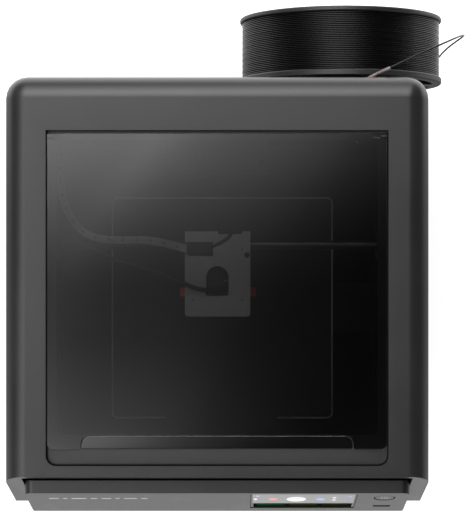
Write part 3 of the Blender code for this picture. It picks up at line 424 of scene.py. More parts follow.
class Finish:
    """A new material: its Principled shader, the wire its nodes start from and the object's coordinates."""

    def __init__(self, name, **fixed):
        self.material = bpy.data.materials.new(name)
        self.material.use_nodes = True
        tree = self.material.node_tree
        self.shader = tree.nodes["Principled BSDF"]
        self.start = Wire(tree)
        self.place = self.start.node("TexCoord", output="Object")
        self.put(**fixed)

    def put(self, **values):
        """Sets or links the shader's sockets: coat_weight is the socket Coat Weight."""
        for key, value in values.items():
            socket = self.shader.inputs[key.replace("_", " ").title().replace("Ior", "IOR")]
            if isinstance(value, Wire):
                self.start.tree.links.new(value.socket, socket)
            else:
                socket.default_value = value

    def noise(self, scale, detail=2.0, stretch=(1, 1, 1), roughness=0.5):
        """Noise from 0 to 1, this many lumps to the metre, narrower along an axis of larger stretch."""
        place = self.start.node("Mapping", {}, {"Vector": self.place, "Scale": stretch})
        sockets = {"Vector": place, "Scale": scale, "Detail": detail, "Roughness": roughness}
        return self.start.node("TexNoise", {}, sockets)

    def axis(self, letter):
        """How far along X, Y or Z of the scene a point lies, in metres."""
        return self.start.node("SeparateXYZ", {}, {0: self.place}, "XYZ".index(letter))

    def bumped(self, height, depth, strength=1.0):
        """Links a bump whose height runs over depth metres."""
        sockets = {"Height": height, "Distance": depth, "Strength": strength}
        self.put(normal=self.start.node("Bump", {}, sockets))


print("finish helpers ready: Wire, Finish")

# %% [markdown]
# ## Moulded plastic
#
# The covers are moulded in a spark-eroded tool, which leaves a fine matt grain on the plastic. Up close
# it is tiny lumps a few tenths of a millimetre across; from a distance it is a soft sheen. Handling
# polishes it in faint patches. So the grain is a bump, the patches change the roughness, and the colour
# drifts very slightly.

# %% Moulded and rubber finishes
def moulded(name, colour, rough, grain=0.00006, size=2600.0, **fixed):
    """Plastic with a fine grain: noise bump, faint cloudy colour, and patches rubbed a little smoother."""
    finish = Finish(name, **fixed)
    clouds = finish.noise(14.0, 3.0)
    rubbed = finish.noise(45.0, 4.0).faded(0.55, 0.75)
    grains = finish.noise(size, 1.0)
    darker = paint([0.86 * c for c in colour])
    lighter = paint([1.12 * c for c in colour])
    tone = (clouds * 0.8 + grains * 0.2).faded(0.3, 0.7)
    finish.put(base_color=tone.blended(darker, lighter), roughness=rough - rubbed * 0.03 + clouds * 0.03)
    finish.bumped(grains, grain)
    return finish.material


FINISHES = {
    "shell": moulded("matt grey shell", (0.012, 0.012, 0.0124), 0.30, specular_ior_level=0.45),
    "panel": moulded("satin grey panel", (0.013, 0.013, 0.0134), 0.29, specular_ior_level=0.45),
    "black": moulded("black moulding", (0.011, 0.011, 0.012), 0.42),
    "grey": moulded("grey moulding", (0.4, 0.385, 0.4), 0.5),
    "red": moulded("dark red levers", (0.6, 0.03, 0.04), 0.38),
    "rubber": moulded("black rubber foot", (0.012, 0.012, 0.012), 0.75, 0.0001, 1500.0),
}
# Near-black and matt: painted shade for the strip in the gap round the lid.
FINISHES["seal"] = moulded("foam seal", (0.003, 0.003, 0.003), 0.9, specular_ior_level=0.1)
print("moulded finishes:", sorted(FINISHES))

# %% [markdown]
# ## Metals
#
# The frame's sheet steel has a powder coat, which dries with a slight orange-peel skin. Rods and screws
# are ground round their axis and oiled: bright, with hair-fine rings. Castings and the bed are milled
# aluminium, so the tool's straight passes show. Each is the same recipe, a metal with a stretched noise,
# at its own scale.

# %% Metal finishes
def machined(name, colour, rough, stretch, scale=900.0, marks=0.10, depth=0.00001):
    """Bare metal with tool marks: noise stretched along the cut changes the roughness and the height."""
    finish = Finish(name, metallic=1.0)
    cut = finish.noise(scale, 3.0, stretch)
    stain = finish.noise(30.0, 4.0).faded(0.5, 0.8)
    dull = paint([0.72 * c for c in colour])
    finish.put(base_color=(stain * 0.5 + cut * 0.2).blended(paint(colour), dull))
    finish.put(roughness=rough + cut * marks + stain * 0.12)
    finish.bumped(cut, depth)
    return finish.material


def powder_coated(name, colour, rough, gloss=0.5, skin=0.00012):
    """Stoved powder paint: a low, rounded orange peel, a little dust in it, and a few bare rubbed specks."""
    finish = Finish(name, specular_ior_level=gloss)
    peel = finish.noise(700.0, 1.5)
    dust = finish.noise(60.0, 5.0).faded(0.55, 0.8)
    finish.put(base_color=(dust * 0.5).blended(paint(colour), paint([1.6 * c for c in colour])))
    finish.put(roughness=rough + dust * 0.15)
    finish.bumped(peel, skin)
    return finish.material


FINISHES["steel"] = machined("ground steel", (0.62, 0.62, 0.64), 0.16, (1, 1, 1), 2400.0)
ALLOY_GREY, CUT_ALONG_X = (0.52, 0.52, 0.53), (0.05, 1, 1)
FINISHES["alloy"] = machined("milled aluminium", ALLOY_GREY, 0.30, CUT_ALONG_X, 1400.0, 0.18, 0.00003)
FINISHES["sheet"] = powder_coated("powder-coated steel", (0.035, 0.035, 0.037), 0.72, 0.05, 0.00003)
FINISHES["motor"] = powder_coated("black motor case", (0.02, 0.02, 0.021), 0.36)
FINISHES["dark steel"] = machined("blackened steel", (0.06, 0.06, 0.063), 0.35, (1, 1, 1))
FINISHES["oiled rod"] = machined("oiled rods", (0.12, 0.12, 0.125), 0.34, (1, 1, 1))
print("metal finishes added")

# %% [markdown]
# ## The lid, the window and the display glass
#
# The lid is smoked acrylic: it dims what lies under it and mirrors the room on top. A tinted pane that is
# thin needs no bending of light, so its alpha lets the inside show through and its gloss gives the
# mirror. Fine hairlines from wiping and a little dust show where light grazes it.

# %% Smoked panes and dark glass
def smoked(name, colour, share, rough=0.03, hairlines=0.02, gloss=0.5, bend=1.49):
    """A tinted pane: share is how much it hides. Hairlines are thin noise contours, a little rougher."""
    finish = Finish(name, ior=bend, specular_ior_level=gloss)
    wiped = finish.noise(22.0, 6.0, (1, 6, 1))
    lines = (wiped < 0.503) * (wiped > 0.5)
    dust = finish.noise(1800.0, 2.0).faded(0.68, 0.76)
    finish.put(base_color=(dust * 0.3).blended(paint(colour), (0.1, 0.1, 0.1, 1.0)))
    finish.put(alpha=share + dust * 0.04 + lines * 0.02)
    finish.put(roughness=rough + lines * hairlines + finish.noise(6.0, 3.0) * 0.02)
    return finish.material


FINISHES["tinted"] = smoked("smoked acrylic lid", (0.0008, 0.0008, 0.0009), 0.55, gloss=0.95, bend=1.54)
FINISHES["clear"] = smoked("smoked door window", (0.012, 0.012, 0.013), 0.6, 0.06)
FINISHES["screen"] = smoked("display glass", (0.004, 0.006, 0.006), 1.0, 0.2, gloss=0.3)
print("glass finishes added")

# %% [markdown]
# ## Filament, tube, build plate and circuit board
#
# Filament is extruded glossy and drawn over the spool in turns, each a little different in sheen. The
# tube is milky plastic. The build plate is spring steel with a baked-on, sandy coating that glitters
# slightly. A circuit board is green lacquer over copper tracks, with a pale pad at each joint.

# %% Filament, tube, plate and board finishes
def filament_finish():
    """Glossy black strand: sheen that drifts along the strand, and a faint drawn grain."""
    finish = Finish("black filament", specular_ior_level=0.22)
    drift = finish.noise(55.0, 3.0, (1, 6, 1))
    finish.put(base_color=drift.blended((0.001, 0.001, 0.001, 1), (0.003, 0.003, 0.0032, 1)))
    finish.put(roughness=0.16 + drift * 0.12)
    finish.bumped(finish.noise(2500.0, 1.0, (1, 4, 1)), 0.00002)
    return finish.material


def tube_finish():
    """Milky tube with a black strand inside, so a middle grey, with faint scuffs where it rubs."""
    finish = Finish("milky tube", subsurface_weight=0.1, specular_ior_level=0.35)
    scuffs = finish.noise(160.0, 4.0).faded(0.5, 0.75)
    finish.put(base_color=scuffs.blended((0.16, 0.16, 0.16, 1), (0.1, 0.1, 0.098, 1)))
    finish.put(roughness=0.3 + scuffs * 0.2)
    finish.bumped(finish.noise(900.0, 2.0), 0.00002)
    return finish.material


def plate_finish():
    """Sandy coating: fine grain whose tops are paler and glossier, with patches paled by wear."""
    finish = Finish("textured build plate", specular_ior_level=0.2)
    sand = finish.noise(1900.0, 2.0)
    tops = sand.faded(0.5, 0.7)
    wear = finish.noise(12.0, 4.0).faded(0.45, 0.7)
    paled = tops * 0.6 + wear * 0.25
    finish.put(base_color=paled.blended((0.025, 0.025, 0.026, 1), (0.06, 0.06, 0.063, 1)))
    finish.put(roughness=0.62 - tops * 0.22)
    finish.bumped(sand, 0.00025)
    return finish.material


def board_finish():
    """Lacquered board: copper tracks are thin bands between square cells, with pads at some cell middles."""
    finish = Finish("circuit board")
    sockets = {"Vector": finish.place, "Scale": 260.0}
    chebychev = {"feature": "F1", "distance": "CHEBYCHEV"}
    cell = finish.start.node("TexVoronoi", chebychev, sockets, "Distance")
    tracks = (cell < 0.52) * (cell > 0.44)
    pads = cell < 0.09
    lacquer = tracks.blended((0.008, 0.075, 0.03, 1), (0.02, 0.15, 0.06, 1))
    finish.put(base_color=pads.blended(lacquer, (0.5, 0.48, 0.42, 1)), metallic=pads * 0.8)
    finish.put(roughness=0.32 + finish.noise(300.0) * 0.1)
    finish.bumped(tracks, 0.00006)
    return finish.material


FINISHES["filament"] = filament_finish()
FINISHES["ptfe"] = tube_finish()
FINISHES["plate"] = plate_finish()
FINISHES["board"] = board_finish()
print("finishes:", sorted(FINISHES))

# %% [markdown]
# ## Floor and light
#
# The machine stands in a bright, plain studio. The floor is white and glows a little, as a lit paper
# sweep does, so it stays white right up to the machine. Satin plastic is mostly seen by what it mirrors,
# so the sky matters more than lamps: it is bright behind the machine and overhead to the left, and fades
# to the right. The sky's brightness is one ramp across, times one ramp from front to rear. Seen directly
# it is plain and pale.

# %% White floor and a graded sky
SKY_LEAN = 0.42  # how far the ramp across turns towards the rear
SKY_STRENGTH = 10.8


def lay_floor():
    """A floor disc under the feet, six metres in radius, that glows near white."""
    finish = Finish("white floor", base_color=(0.15, 0.15, 0.15, 1), roughness=0.9)
    behind = finish.axis("Y").faded(0.05, 0.6)
    before = finish.axis("Y").faded(-0.1, -0.5)
    seen = finish.start.node("LightPath", output="Is Camera Ray")
    glow = seen * 0.7 + behind * 2.0 + before * 0.45 + 0.2
    white = glow.node("CombineXYZ", {}, {0: glow, 1: glow, 2: glow})
    finish.put(emission_color=white, emission_strength=1.0)
    disc = turned([(0, -8), (6000, -8), (6000, -0.4), (0, -0.4)], sides=48)
    floor = bpy.data.objects.new("floor", new_mesh("floor", disc))
    floor.data.materials.append(finish.material)
    bpy.context.collection.objects.link(floor)


def hang_sky():
    """A ramp across times a ramp from front to rear of the direction looked in, plain where seen itself."""
    world = bpy.data.worlds.new("studio")
    bpy.context.scene.world = world
    world.use_nodes = True
    tree = world.node_tree
    start = Wire(tree)
    towards = start.node("TexCoord", output="Generated")
    x = start.node("SeparateXYZ", {}, {0: towards}, 0)
    y = start.node("SeparateXYZ", {}, {0: towards}, 1)
    leaning = x - y * SKY_LEAN - y.faded(0.0, 0.08) * 0.02
    across_stops = [
        (0.0, 0.06), (0.12, 0.07), (0.2, 0.42), (0.29, 0.9), (0.434, 0.8), (0.445, 0.74),
        (0.452, 0.82), (0.458, 0.68), (0.465, 0.54), (0.475, 0.42), (0.49, 0.32), (0.5045, 0.2),
        (0.5125, 0.12), (0.52, 0.08), (0.5275, 0.05), (0.5395, 0.02), (0.55, 0.01), (0.6, 0.01),
        (0.7, 0.01), (1.0, 0.04),
    ]
    along_stops = [
        (0.0, 0.35), (0.2, 0.35), (0.35, 0.5), (0.425, 0.5), (0.4465, 0.27), (0.45, 0.2),
        (0.465, 0.12), (0.4765, 0.076), (0.488, 0.065), (0.494, 0.066), (0.5, 0.09),
        (0.514, 0.16), (0.5335, 0.29), (0.55, 0.34), (0.6, 0.48), (0.75, 0.9), (0.875, 0.6),
        (1.0, 0.12),
    ]
    across = start.node("ValToRGB", {"stops": across_stops}, {"Fac": leaning * 0.5 + 0.5})
    along = start.node("ValToRGB", {"stops": along_stops}, {"Fac": y * 0.5 + 0.5})
    seen = start.node("LightPath", output="Is Camera Ray")
    strength = across * along * SKY_STRENGTH
    shown = seen * 0.93 + (1 - seen) * strength
    background = tree.nodes["Background"]
    tree.links.new(shown.socket, background.inputs["Strength"])
    background.inputs["Color"].default_value = (1, 1, 1, 1)


lay_floor()
hang_sky()
bpy.context.scene.view_settings.view_transform = "Standard"
print("floor and sky ready")

# %% [markdown]
# ## The strand from the spool
#
# One strand of filament leaves the spool's edge, bows outwards as it springs off the coil, and runs over
# the machine's rear edge into the inlet tube. It is a cord: 1.75 mm thick and about a quarter of a metre
# long. It could be a mesh hose, but a curve keeps its own centre line, and a bevel makes it round.

# %% Strand of filament
INLET_X, INLET_Z = 136.5, 423.5
STRAND_STOPS = [
    (222.3, 241.0, 240.0),
    (222.6, 242.0, 262.0),
    (225.2, 244.4, 290.0),
    (229.1, 246.6, 320.0),
    (231.6, 247.4, 347.0),
    (229.6, 246.2, 372.0),
    (220.5, 241.2, 394.0),
    (205.0, 233.2, 411.0),
    (186.0, 223.9, 422.5),
    (168.0, 215.3, 427.2),
    (INLET_X + 20.1, 209.9, INLET_Z + 4.5),
]
STRAND_D = 1.75


def make_strand():
    """The strand as one open spline along its route, a cord that runs back into the machine."""
    route = smooth_route(STRAND_STOPS, 3.0)
    curve = bpy.data.curves.new("strand", "CURVE")
    curve.dimensions = "3D"
    curve.bevel_depth = STRAND_D / 2000
    curve.bevel_resolution = 4
    curve.use_fill_caps = True
    spline = curve.splines.new("POLY")
    spline.points.add(len(route) - 1)
    spline.points.foreach_set("co", np.column_stack([metres(route), np.ones(len(route))]).ravel())
    spline.use_smooth = True
    curve.materials.append(FINISHES["filament"])
    strand = bpy.data.objects.new("strand", curve)
    bpy.context.collection.objects.link(strand)
    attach(strand, "chassis")
    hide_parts("filament_strand")


make_strand()

# %% [markdown]
# ## Every working part, softened
#
# A moulded or folded edge is never perfectly sharp: it has a radius of a few tenths of a millimetre that
# catches a line of light. So each working part is copied, its triangles are merged back into whole faces,
# and a narrow bevel rounds its edges. The record says which finish each part has. Parts that get a finer
# surface of their own further down are left out here.

# %% Softened copies of the working parts
BODY_OF = {node: body for body, nodes in frame["record"]["behaviour"]["bodies"].items() for node in nodes}
SLOT_OF = {part["node"]: part["material_slot"] for part in frame["record"]["subparts"]}
OWN_SURFACE = {
    "filament_strand",
    "filament_winding",
    "drag_chain_rear",
    "drag_chain_front",
    "guide_tube_rear",
    "guide_tube_front",
    "z_screw_left",
    "z_screw_right",
}
FINE_EDGES = {"display": 0.1, "lid": 0.25, "build_plate": 0.15, "door_window": 0.3, "power_inlet": 0.3}
DARKER = {
    **dict.fromkeys(("lid_hinge_pin_left", "lid_hinge_pin_right"), FINISHES["dark steel"]),
    **dict.fromkeys(("x_rod_upper", "x_rod_lower", "y_rod_left", "y_rod_right"), FINISHES["oiled rod"]),
}
SOFT = {}
for node in sorted(frame["nodes"]):
    if node not in OWN_SURFACE:
        slot, edge = SLOT_OF[node], FINE_EDGES.get(node, 0.5)
        SOFT[node] = softened(node, DARKER.get(node, FINISHES[slot]), BODY_OF[node], edge)
print(len(SOFT), "working parts softened")

# %% [markdown]
# ## Filament wound on the spool
#
# The coil's surface is thirty-one turns lying side by side. Painted lines would look flat, and one real
# helix of all the layers would be enormous. Only the outer layer shows, so the coil is one turned surface
# whose radius rises and falls once for each turn. Each turn lies a little higher or lower than the next,
# and its height drifts slowly round the coil, as wound filament does.

# %% The coil
COIL_LOW, COIL_HIGH = millimetres("filament_winding")
SPOOL_X, SPOOL_Z = (COIL_LOW[0] + COIL_HIGH[0]) / 2, (COIL_LOW[2] + COIL_HIGH[2]) / 2
COIL_R = (COIL_HIGH[0] - COIL_LOW[0]) / 2
TURNS = 31


def coil_surface(sides=144, points_per_turn=8):
    """radius = coil radius - turn's own drop - strand radius x (1 - circle arc across the turn)."""
    across = np.arange(TURNS * points_per_turn + 1) / points_per_turn
    turn = np.minimum(across.astype(int), TURNS - 1)
    arc = np.sqrt(np.clip(1 - (2 * (across - turn) - 1) ** 2, 0, 1))
    drop = 0.15 * (0.5 + 0.5 * np.sin(turn * 2.4) * np.cos(turn * 0.7))
    around = np.linspace(0, 2 * np.pi, sides, endpoint=False)
    drift = 0.12 * np.sin(3 * around[None, :] + 1.9 * turn[:, None])
    radius = COIL_R - drop[:, None] - STRAND_D / 2 * (1 - arc[:, None]) + drift - 0.12
    y = np.broadcast_to((COIL_LOW[1] + (COIL_HIGH[1] - COIL_LOW[1]) * across / TURNS)[:, None], radius.shape)
    outer = np.stack([SPOOL_X + radius * np.sin(around), y, SPOOL_Z + radius * np.cos(around)], -1)
    hub = np.stack([50.4 * np.sin(around), 0 * around, 50.4 * np.cos(around)], -1)
    near = hub + (SPOOL_X, COIL_LOW[1], SPOOL_Z)
    far = hub + (SPOOL_X, COIL_HIGH[1], SPOOL_Z)
    return lofted(np.concatenate([near[None], outer, far[None]]))


coil = make("wound_filament", coil_surface(), FINISHES["filament"], "spool", 60)
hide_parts("filament_winding")
print("coil of", TURNS, "turns, faces:", len(coil.data.polygons))

# %% [markdown]
# ## Drag chain and guide tube
#
# The toolhead's leads run in a chain of small links that bends only sideways, and the filament runs in a
# tube. Both cross two joints: the gantry slides to and fro, and the head slides along it. So each is made
# in two lengths.

# %% Chain links and tubes
CHAIN_Z = 395.5
CHAIN_REAR = [(-127, 193), (-131, 178), (-136.5, 162), (-141.5, 143), (-144.4, 123)]
CHAIN_REAR += [(-144.4, 109), (-142.6, 95.5), (-139, 83.5), (-133.4, 72.8)]
CHAIN_FRONT = [(-132.2, 71.2), (-124.4, 62.8), (-112.5, 56.9), (-98.7, 54.6), (-85, 54.4)]
CHAIN_FRONT += [(-66.6, 54.2), (-52.9, 52.5), (-41.8, 49.8), (-31, 46.8)]
TUBE_REAR = [(135.9, 187.5, 423.1), (126, 186, 421), (90, 188, 416), (30, 190, 412), (-40, 190, 409)]
TUBE_REAR += [(-110, 190, 408), (-150, 186, 407), (-170, 172, 406), (-178, 145, 405), (-178.5, 110, 404)]
TUBE_REAR += [(-173, 80, 404), (-160, 61, 404), (-144, 53, 404)]
TUBE_FRONT = [(-143.5, 52.8, 404), (-124, 49.7, 405.5), (-107.4, 43.3, 407.5), (-94.6, 36.9, 409)]
TUBE_FRONT += [(-73.6, 31, 411), (-51.7, 23.7, 411.5), (-30.7, 14.6, 410), (-20, 10.2, 408)]
TUBE_FRONT += [(-9.6, 8.6, 405), (0.5, 9.6, 401.5), (5.2, 10.8, 396.5), (6, 11, 391)]


def chain_links(stops):
    """Links 11 mm long every 12.6 mm along the route, with a round eye and a peg between each two."""
    route = smooth_route([(x, y, CHAIN_Z) for x, y in stops], 6.3)
    axes = route_axes(route)
    link = block((-3.6, 3.6), (-3.9, 3.9), (-5.6, 5.6), 0.7)
    pivot = turned([(0, -3.98), (3.2, -3.98), (3.2, 3.98), (0, 3.98)], direction=(0, 1, 0), sides=16)
    peg = turned([(0, -3.99), (1.1, -3.99), (1.1, 4.0), (0, 4.0)], direction=(0, 1, 0), sides=10)
    middles, ends = slice(1, None, 2), slice(0, None, 2)
    links = copies(link, route[middles], axes[middles])
    return [links, copies(pivot, route[ends], axes[ends])], copies(peg, route[ends], axes[ends])


def crossing(name, shape, finish, node=None):
    """A piece that spans two bodies but rides on neither: it stays where it is laid, and its working part
    hides.
    """
    mesh = new_mesh(name, joined(shape) if isinstance(shape, list) else shape)
    mesh.materials.append(finish)
    mesh.shade_smooth()
    mesh.set_sharp_from_angle(angle=math.radians(40))
    piece = bpy.data.objects.new(name, mesh)
    bpy.context.collection.objects.link(piece)
    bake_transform(piece)
    if node is not None:
        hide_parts(node)
    return piece


CHAIN_FINISH = moulded("chain links", (0.35, 0.35, 0.352), 0.45)
PEG_FINISH = moulded("chain pegs", (0.05, 0.05, 0.05), 0.4)
LEADS = {
    "rear": (CHAIN_REAR, TUBE_REAR, ("chassis", "gantry"), (-140, 190, 400), (-140, 66, 400)),
    "front": (CHAIN_FRONT, TUBE_FRONT, ("gantry", "head"), (-138, 60, 400), (-31, 46.8, 400)),
}
for word, (chain, hose, bodies, start, end) in LEADS.items():
    links, pegs = chain_links(chain)
    crossing(f"chain_links_{word}", links, CHAIN_FINISH, f"drag_chain_{word}")
    crossing(f"chain_pegs_{word}", pegs, PEG_FINISH)
    tube = carried(ring(2.0), smooth_route(hose, 3.0))
    crossing(f"tube_{word}", tube, FINISHES["black"], f"guide_tube_{word}")
print("chain and tube laid in two lengths each")

# %% [markdown]
# ## Lead screws
#
# The bed hangs on two trapezoidal screws with four threads each. A thread is a ridge that winds round a
# rod, so the radius is a function of height and turn: a slanting wave with flat tops and flat bottoms.
# The small toothed pulley under each screw is the same idea, with the wave going round instead.

# %% Screws with threads and toothed pulleys
THREAD_R, THREAD_DEPTH, LEAD, STARTS = 4.0, 0.6, 8.0, 4
TOOTH_DEPTH = 0.6


def threaded(low, high, columns=20, rows_per_mm=2.4):
    """radius = thread radius - depth x wave, a clipped sine of starts x (height / lead - turn)."""
    z = np.linspace(low, high, int((high - low) * rows_per_mm))
    turn = np.linspace(0, 1, columns, endpoint=False)
    wave = np.clip(0.5 + 0.9 * np.sin(2 * np.pi * STARTS * (z[:, None] / LEAD - turn[None, :])), 0, 1)
    radius = THREAD_R - THREAD_DEPTH * wave
    angle = np.broadcast_to(2 * np.pi * turn, radius.shape)
    height = np.broadcast_to(z[:, None], radius.shape)
    return lofted(np.stack([radius * np.cos(angle), radius * np.sin(angle), height], -1))


def toothed(radius, teeth, low, high):
    """A toothed wheel: its outline's radius dips once for each tooth, raised from low to high."""
    turn = np.linspace(0, 2 * np.pi, teeth * 4, endpoint=False)
    reach = radius - TOOTH_DEPTH * (np.arange(teeth * 4) % 4 >= 2)
    return slab(np.stack([reach * np.cos(turn), reach * np.sin(turn)], 1), low, high, 0.05, 2)


def lead_screw(node):
    """The whole turning screw: plain end, flanged pulley, thread, and a turned top."""
    low, high = millimetres(node)
    x, y = (low[:2] + high[:2]) / 2
    plain = turned([(0, low[2]), (3.4, low[2]), (4, low[2] + 0.5), (4, 57), (3.4, 57.5), (0, 57.5)])
    pulley = toothed(9.2, 28, 45, 51)
    flanges = [turned([(0, z), (10, z), (10, z + 1), (0, z + 1)], sides=40) for z in (44, 51)]
    top = turned([(0, high[2] - 9), (3.2, high[2] - 9), (3.2, high[2] - 0.6), (2.6, high[2]), (0, high[2])])
    return copies(joined([plain, pulley, *flanges, threaded(57, high[2] - 8), top]), (x, y, 0))


for side in ("left", "right"):
    node = f"z_screw_{side}"
    screw = make(f"lead_screw_{side}", lead_screw(node), FINISHES["steel"], f"screw_{side}")
    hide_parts(node)
print("two threaded screws")

# %% [markdown]
# ## Screws that hold things
#
# Covers, fans and boards are held by small button-head screws with a hexagonal socket. One head is worked
# out once: rings up a low dome, then a hexagon that drops in as the socket. It is then copied to every
# place.

# %% One screw head, copied to many places
def screw_head(radius=2.8, height=1.5):
    """Rings up a low dome, then down into a six-sided socket."""
    turn = np.linspace(0, 2 * np.pi, 24, endpoint=False)
    rise = np.linspace(0, 0.36 * np.pi, 5)
    dome = [(radius * np.cos(a) ** 0.6 * np.ones(24), height * np.sin(a) / np.sin(rise[-1])) for a in rise]
    hexagon = 0.42 * radius * np.cos(np.pi / 6) / np.cos((turn % (np.pi / 3)) - np.pi / 6)
    dome += [(hexagon, height), (hexagon, height * 0.35)]
    return lofted([np.stack([r * np.cos(turn), r * np.sin(turn), np.full(24, z)], 1) for r, z in dome])


def screws(name, places, direction, body, radius=2.8, height=1.5):
    """Screw heads of one size at these places, all facing one way."""
    heads = copies(screw_head(radius, height), places, axes_along(direction))
    return make(name, heads, FINISHES["dark steel"], body, 30)


SIDES = (1, -1)
BACK = millimetres("rear_cover")[1][1]
rear_screws = [(side * 158, BACK, z) for side in SIDES for z in (30, 130, 230, 352)]
screws("rear_cover_screws", rear_screws, (0, 1, 0), "chassis")
fan_screws = [(x, BACK, 276 + z) for x in (-38, 38) for z in (-38, 38)]
screws("fan_screws", fan_screws, (0, 1, 0), "chassis", 2.4)
inlet_screws = [(-130 + side * 26.5, BACK + 2.1, 88) for side in SIDES]
screws("inlet_screws", inlet_screws, (0, 1, 0), "chassis", 2.0, 0.8)
print("screws on the back:", len(rear_screws) + len(fan_screws) + len(inlet_screws))

# %% [markdown]
# ## Grip lip of the lid
#
# The lid's front edge has a shallow notch, and a thin smoked lip fills it, bent down a little so that a
# fingertip can get under it. It is an outline with two rounded rear corners, raised by its thickness. Its
# top leans forward by about two degrees, so it mirrors a slightly different part of the room than the lid
# and reads as a lip.

# %% Smoked lip in the lid's notch
lid_low, lid_high = millimetres("lid")
LIP_HALF, LIP_Y = 120.3, (lid_low[1] + 0.5, -120.4)
LIP_FINISH = smoked("smoked lip", (0.0015, 0.0015, 0.0016), 0.93, 0.05, gloss=0.85)


def grip_lip():
    """A slab sheared down towards the front: its height falls by 3% of the way from its rear edge."""
    front, rear = LIP_Y
    half = LIP_HALF
    corners = [(-half, front, 0.6), (half, front, 0.6), (half, rear, 7.2), (-half, rear, 7.2)]
    points, faces = slab(outline(corners, 8), lid_high[2] - 2.4, lid_high[2] - 0.1, 0.3)
    points[:, 2] += (points[:, 1] - rear) * 0.03
    return points, faces


# A near-black strip along the recess wall, just under the lid's edge, paints the shade in the gap.
GAP_SHADE_LOW, GAP_SHADE_HIGH = 448.02, 452.5


def recess_seal(half=152.25, front=-146.95, rear=150.0, corner=9.0, thick=0.9):
    """Painted gap shade, a U seen from above: out along the recess wall, and back along the same line moved
    inwards.
    """
    corners = [(-half, front, corner), (half, front, corner), (half, rear, 0.01), (-half, rear, 0.01)]
    arcs = outline(corners, 8)[:16]
    wall = np.concatenate([[[-half, rear]], arcs, [[half, rear]]])
    inner = inset(wall, thick)
    inner[0], inner[-1] = (-half + thick, rear), (half - thick, rear)
    return slab(np.concatenate([wall, inner[::-1]]), GAP_SHADE_LOW, GAP_SHADE_HIGH, 0.15, 2)


make("lid_grip_lip", grip_lip(), LIP_FINISH, "lid")
make("recess_seal", recess_seal(), FINISHES["seal"], "chassis")
print("lip", round(2 * LIP_HALF, 1), "mm wide")

# %% [markdown]
# ## Face of the control panel
#
# The panel slopes steeply, so each thing on it is worked out flat and then laid on the slope by one
# function: X across, then down the slope, then out from it. The display shows a plain home page of
# coloured shapes. The name that a maker would print beside it is left as a row of plain pale dashes.

# %% Places on the sloped panel
panel_low, panel_high = millimetres("control_panel")
PANEL_EDGE_Y = -173.7
SLOPE_TOP = np.array([0.0, PANEL_EDGE_Y, panel_high[2]])
SLOPE_FOOT = np.array([0.0, panel_low[1], panel_low[2]])
DOWN = (SLOPE_FOOT - SLOPE_TOP) / np.linalg.norm(SLOPE_FOOT - SLOPE_TOP)
OUT = np.array([0.0, DOWN[2], -DOWN[1]])


def on_slope(shape):
    """Lays a flat shape (x across, y down the slope, z out) on the panel: top edge + y x down + z x out."""
    points, faces = shape
    x, y, z = points.T
    return SLOPE_TOP + x[:, None] * (1, 0, 0) + y[:, None] * DOWN + z[:, None] * OUT, faces


def printed(name, colour, rough=0.4, glow=0.0, gloss=0.3):
    """Ink or lit screen colour: nearly flat, with the faint mottle of a screen print."""
    finish = Finish(name, roughness=rough, specular_ior_level=gloss)
    mottle = finish.noise(3000.0, 1.0)
    finish.put(base_color=mottle.blended(paint([0.9 * c for c in colour]), paint(colour)))
    if glow:
        finish.put(emission_color=mottle.blended(paint([0.94 * c for c in colour]), paint(colour)))
        finish.put(emission_strength=glow)
    return finish.material


def flat_shape(across, along, radius, out=(0.0, 0.08)):
    """A thin rounded tile on the slope, from its extents across and down."""
    return on_slope(slab(rectangle(across, along, radius, 6), *out, 0.02, 2))


DASHES = [9, 4, 14, 6, 9, 4, 12, 6]
ROW_LEFT, ROW_LENGTH = -153.6, 90
gap = (ROW_LENGTH - sum(DASHES)) / (len(DASHES) - 1)
starts = ROW_LEFT + np.cumsum([0, *DASHES[:-1]]) + np.arange(len(DASHES)) * gap
dashes = [flat_shape((x, x + wide), (20.4, 23.6), 1.4, (-0.05, 0.07)) for x, wide in zip(starts, DASHES)]
make("panel_dashes", dashes, printed("pale print", (0.6, 0.6, 0.6)), "chassis")
print("panel slopes over", round(float(np.linalg.norm(SLOPE_FOOT - SLOPE_TOP)), 1), "mm")

# %% The display's home page
GLASS = -0.5  # the glass lies half a millimetre below the panel's face
INK = (GLASS + 0.01, GLASS + 0.09)


def dot(x, down, wide, tall):
    """A flat ellipse on the glass: a circle of points stretched down the slope."""
    flat = ring(1.0, 40) * (wide / 2, tall / 2) + (x, down)
    return on_slope(slab(flat, GLASS + 0.05, GLASS + 0.14, 0.01, 2))


def screen_tile(across, along, radius=0.6):
    """A rounded tile of the page, given in millimetres on the glass."""
    return flat_shape(across, along, radius, INK)


WHITE_PAIR = [dot(106.5, down, 3.6, 4.5) for down in (21, 30)]
PAGE = {
    "page": ([screen_tile((32.0, 125.0), (6.5, 43.0))], (0.30, 0.30, 0.305), 0.24),
    "page_white": ([dot(72, 27, 18, 19), dot(34.7, 27, 3.4, 7), *WHITE_PAIR], (0.7, 0.7, 0.7), 0.5),
    "page_pink": ([dot(50.7, 27, 8.5, 10)], (0.62, 0.22, 0.24), 0.6),
    "page_blue": ([dot(94.0, 27, 8.5, 10)], (0.26, 0.36, 0.6), 0.6),
    "page_lilac": ([screen_tile((115, 122.5), (13, 21), 1.2), dot(36.5, 14, 4, 4)], (0.45, 0.45, 0.6), 0.5),
    "page_bar": ([screen_tile((33, 124), (46, 61.0))], (0.004, 0.006, 0.004), 0.3),
}
for name, (shapes, colour, glow) in PAGE.items():
    gloss = 0.0 if name == "page_bar" else 0.3
    make(name, shapes, printed(name.replace("_", " "), colour, 0.35, glow, gloss), "chassis")
BAR_MARKS = [(36, 62, (0.01, 0.05, 0.022)), (66, 92, (0.03, 0.028, 0.008)), (96, 121, (0.022, 0.022, 0.01))]
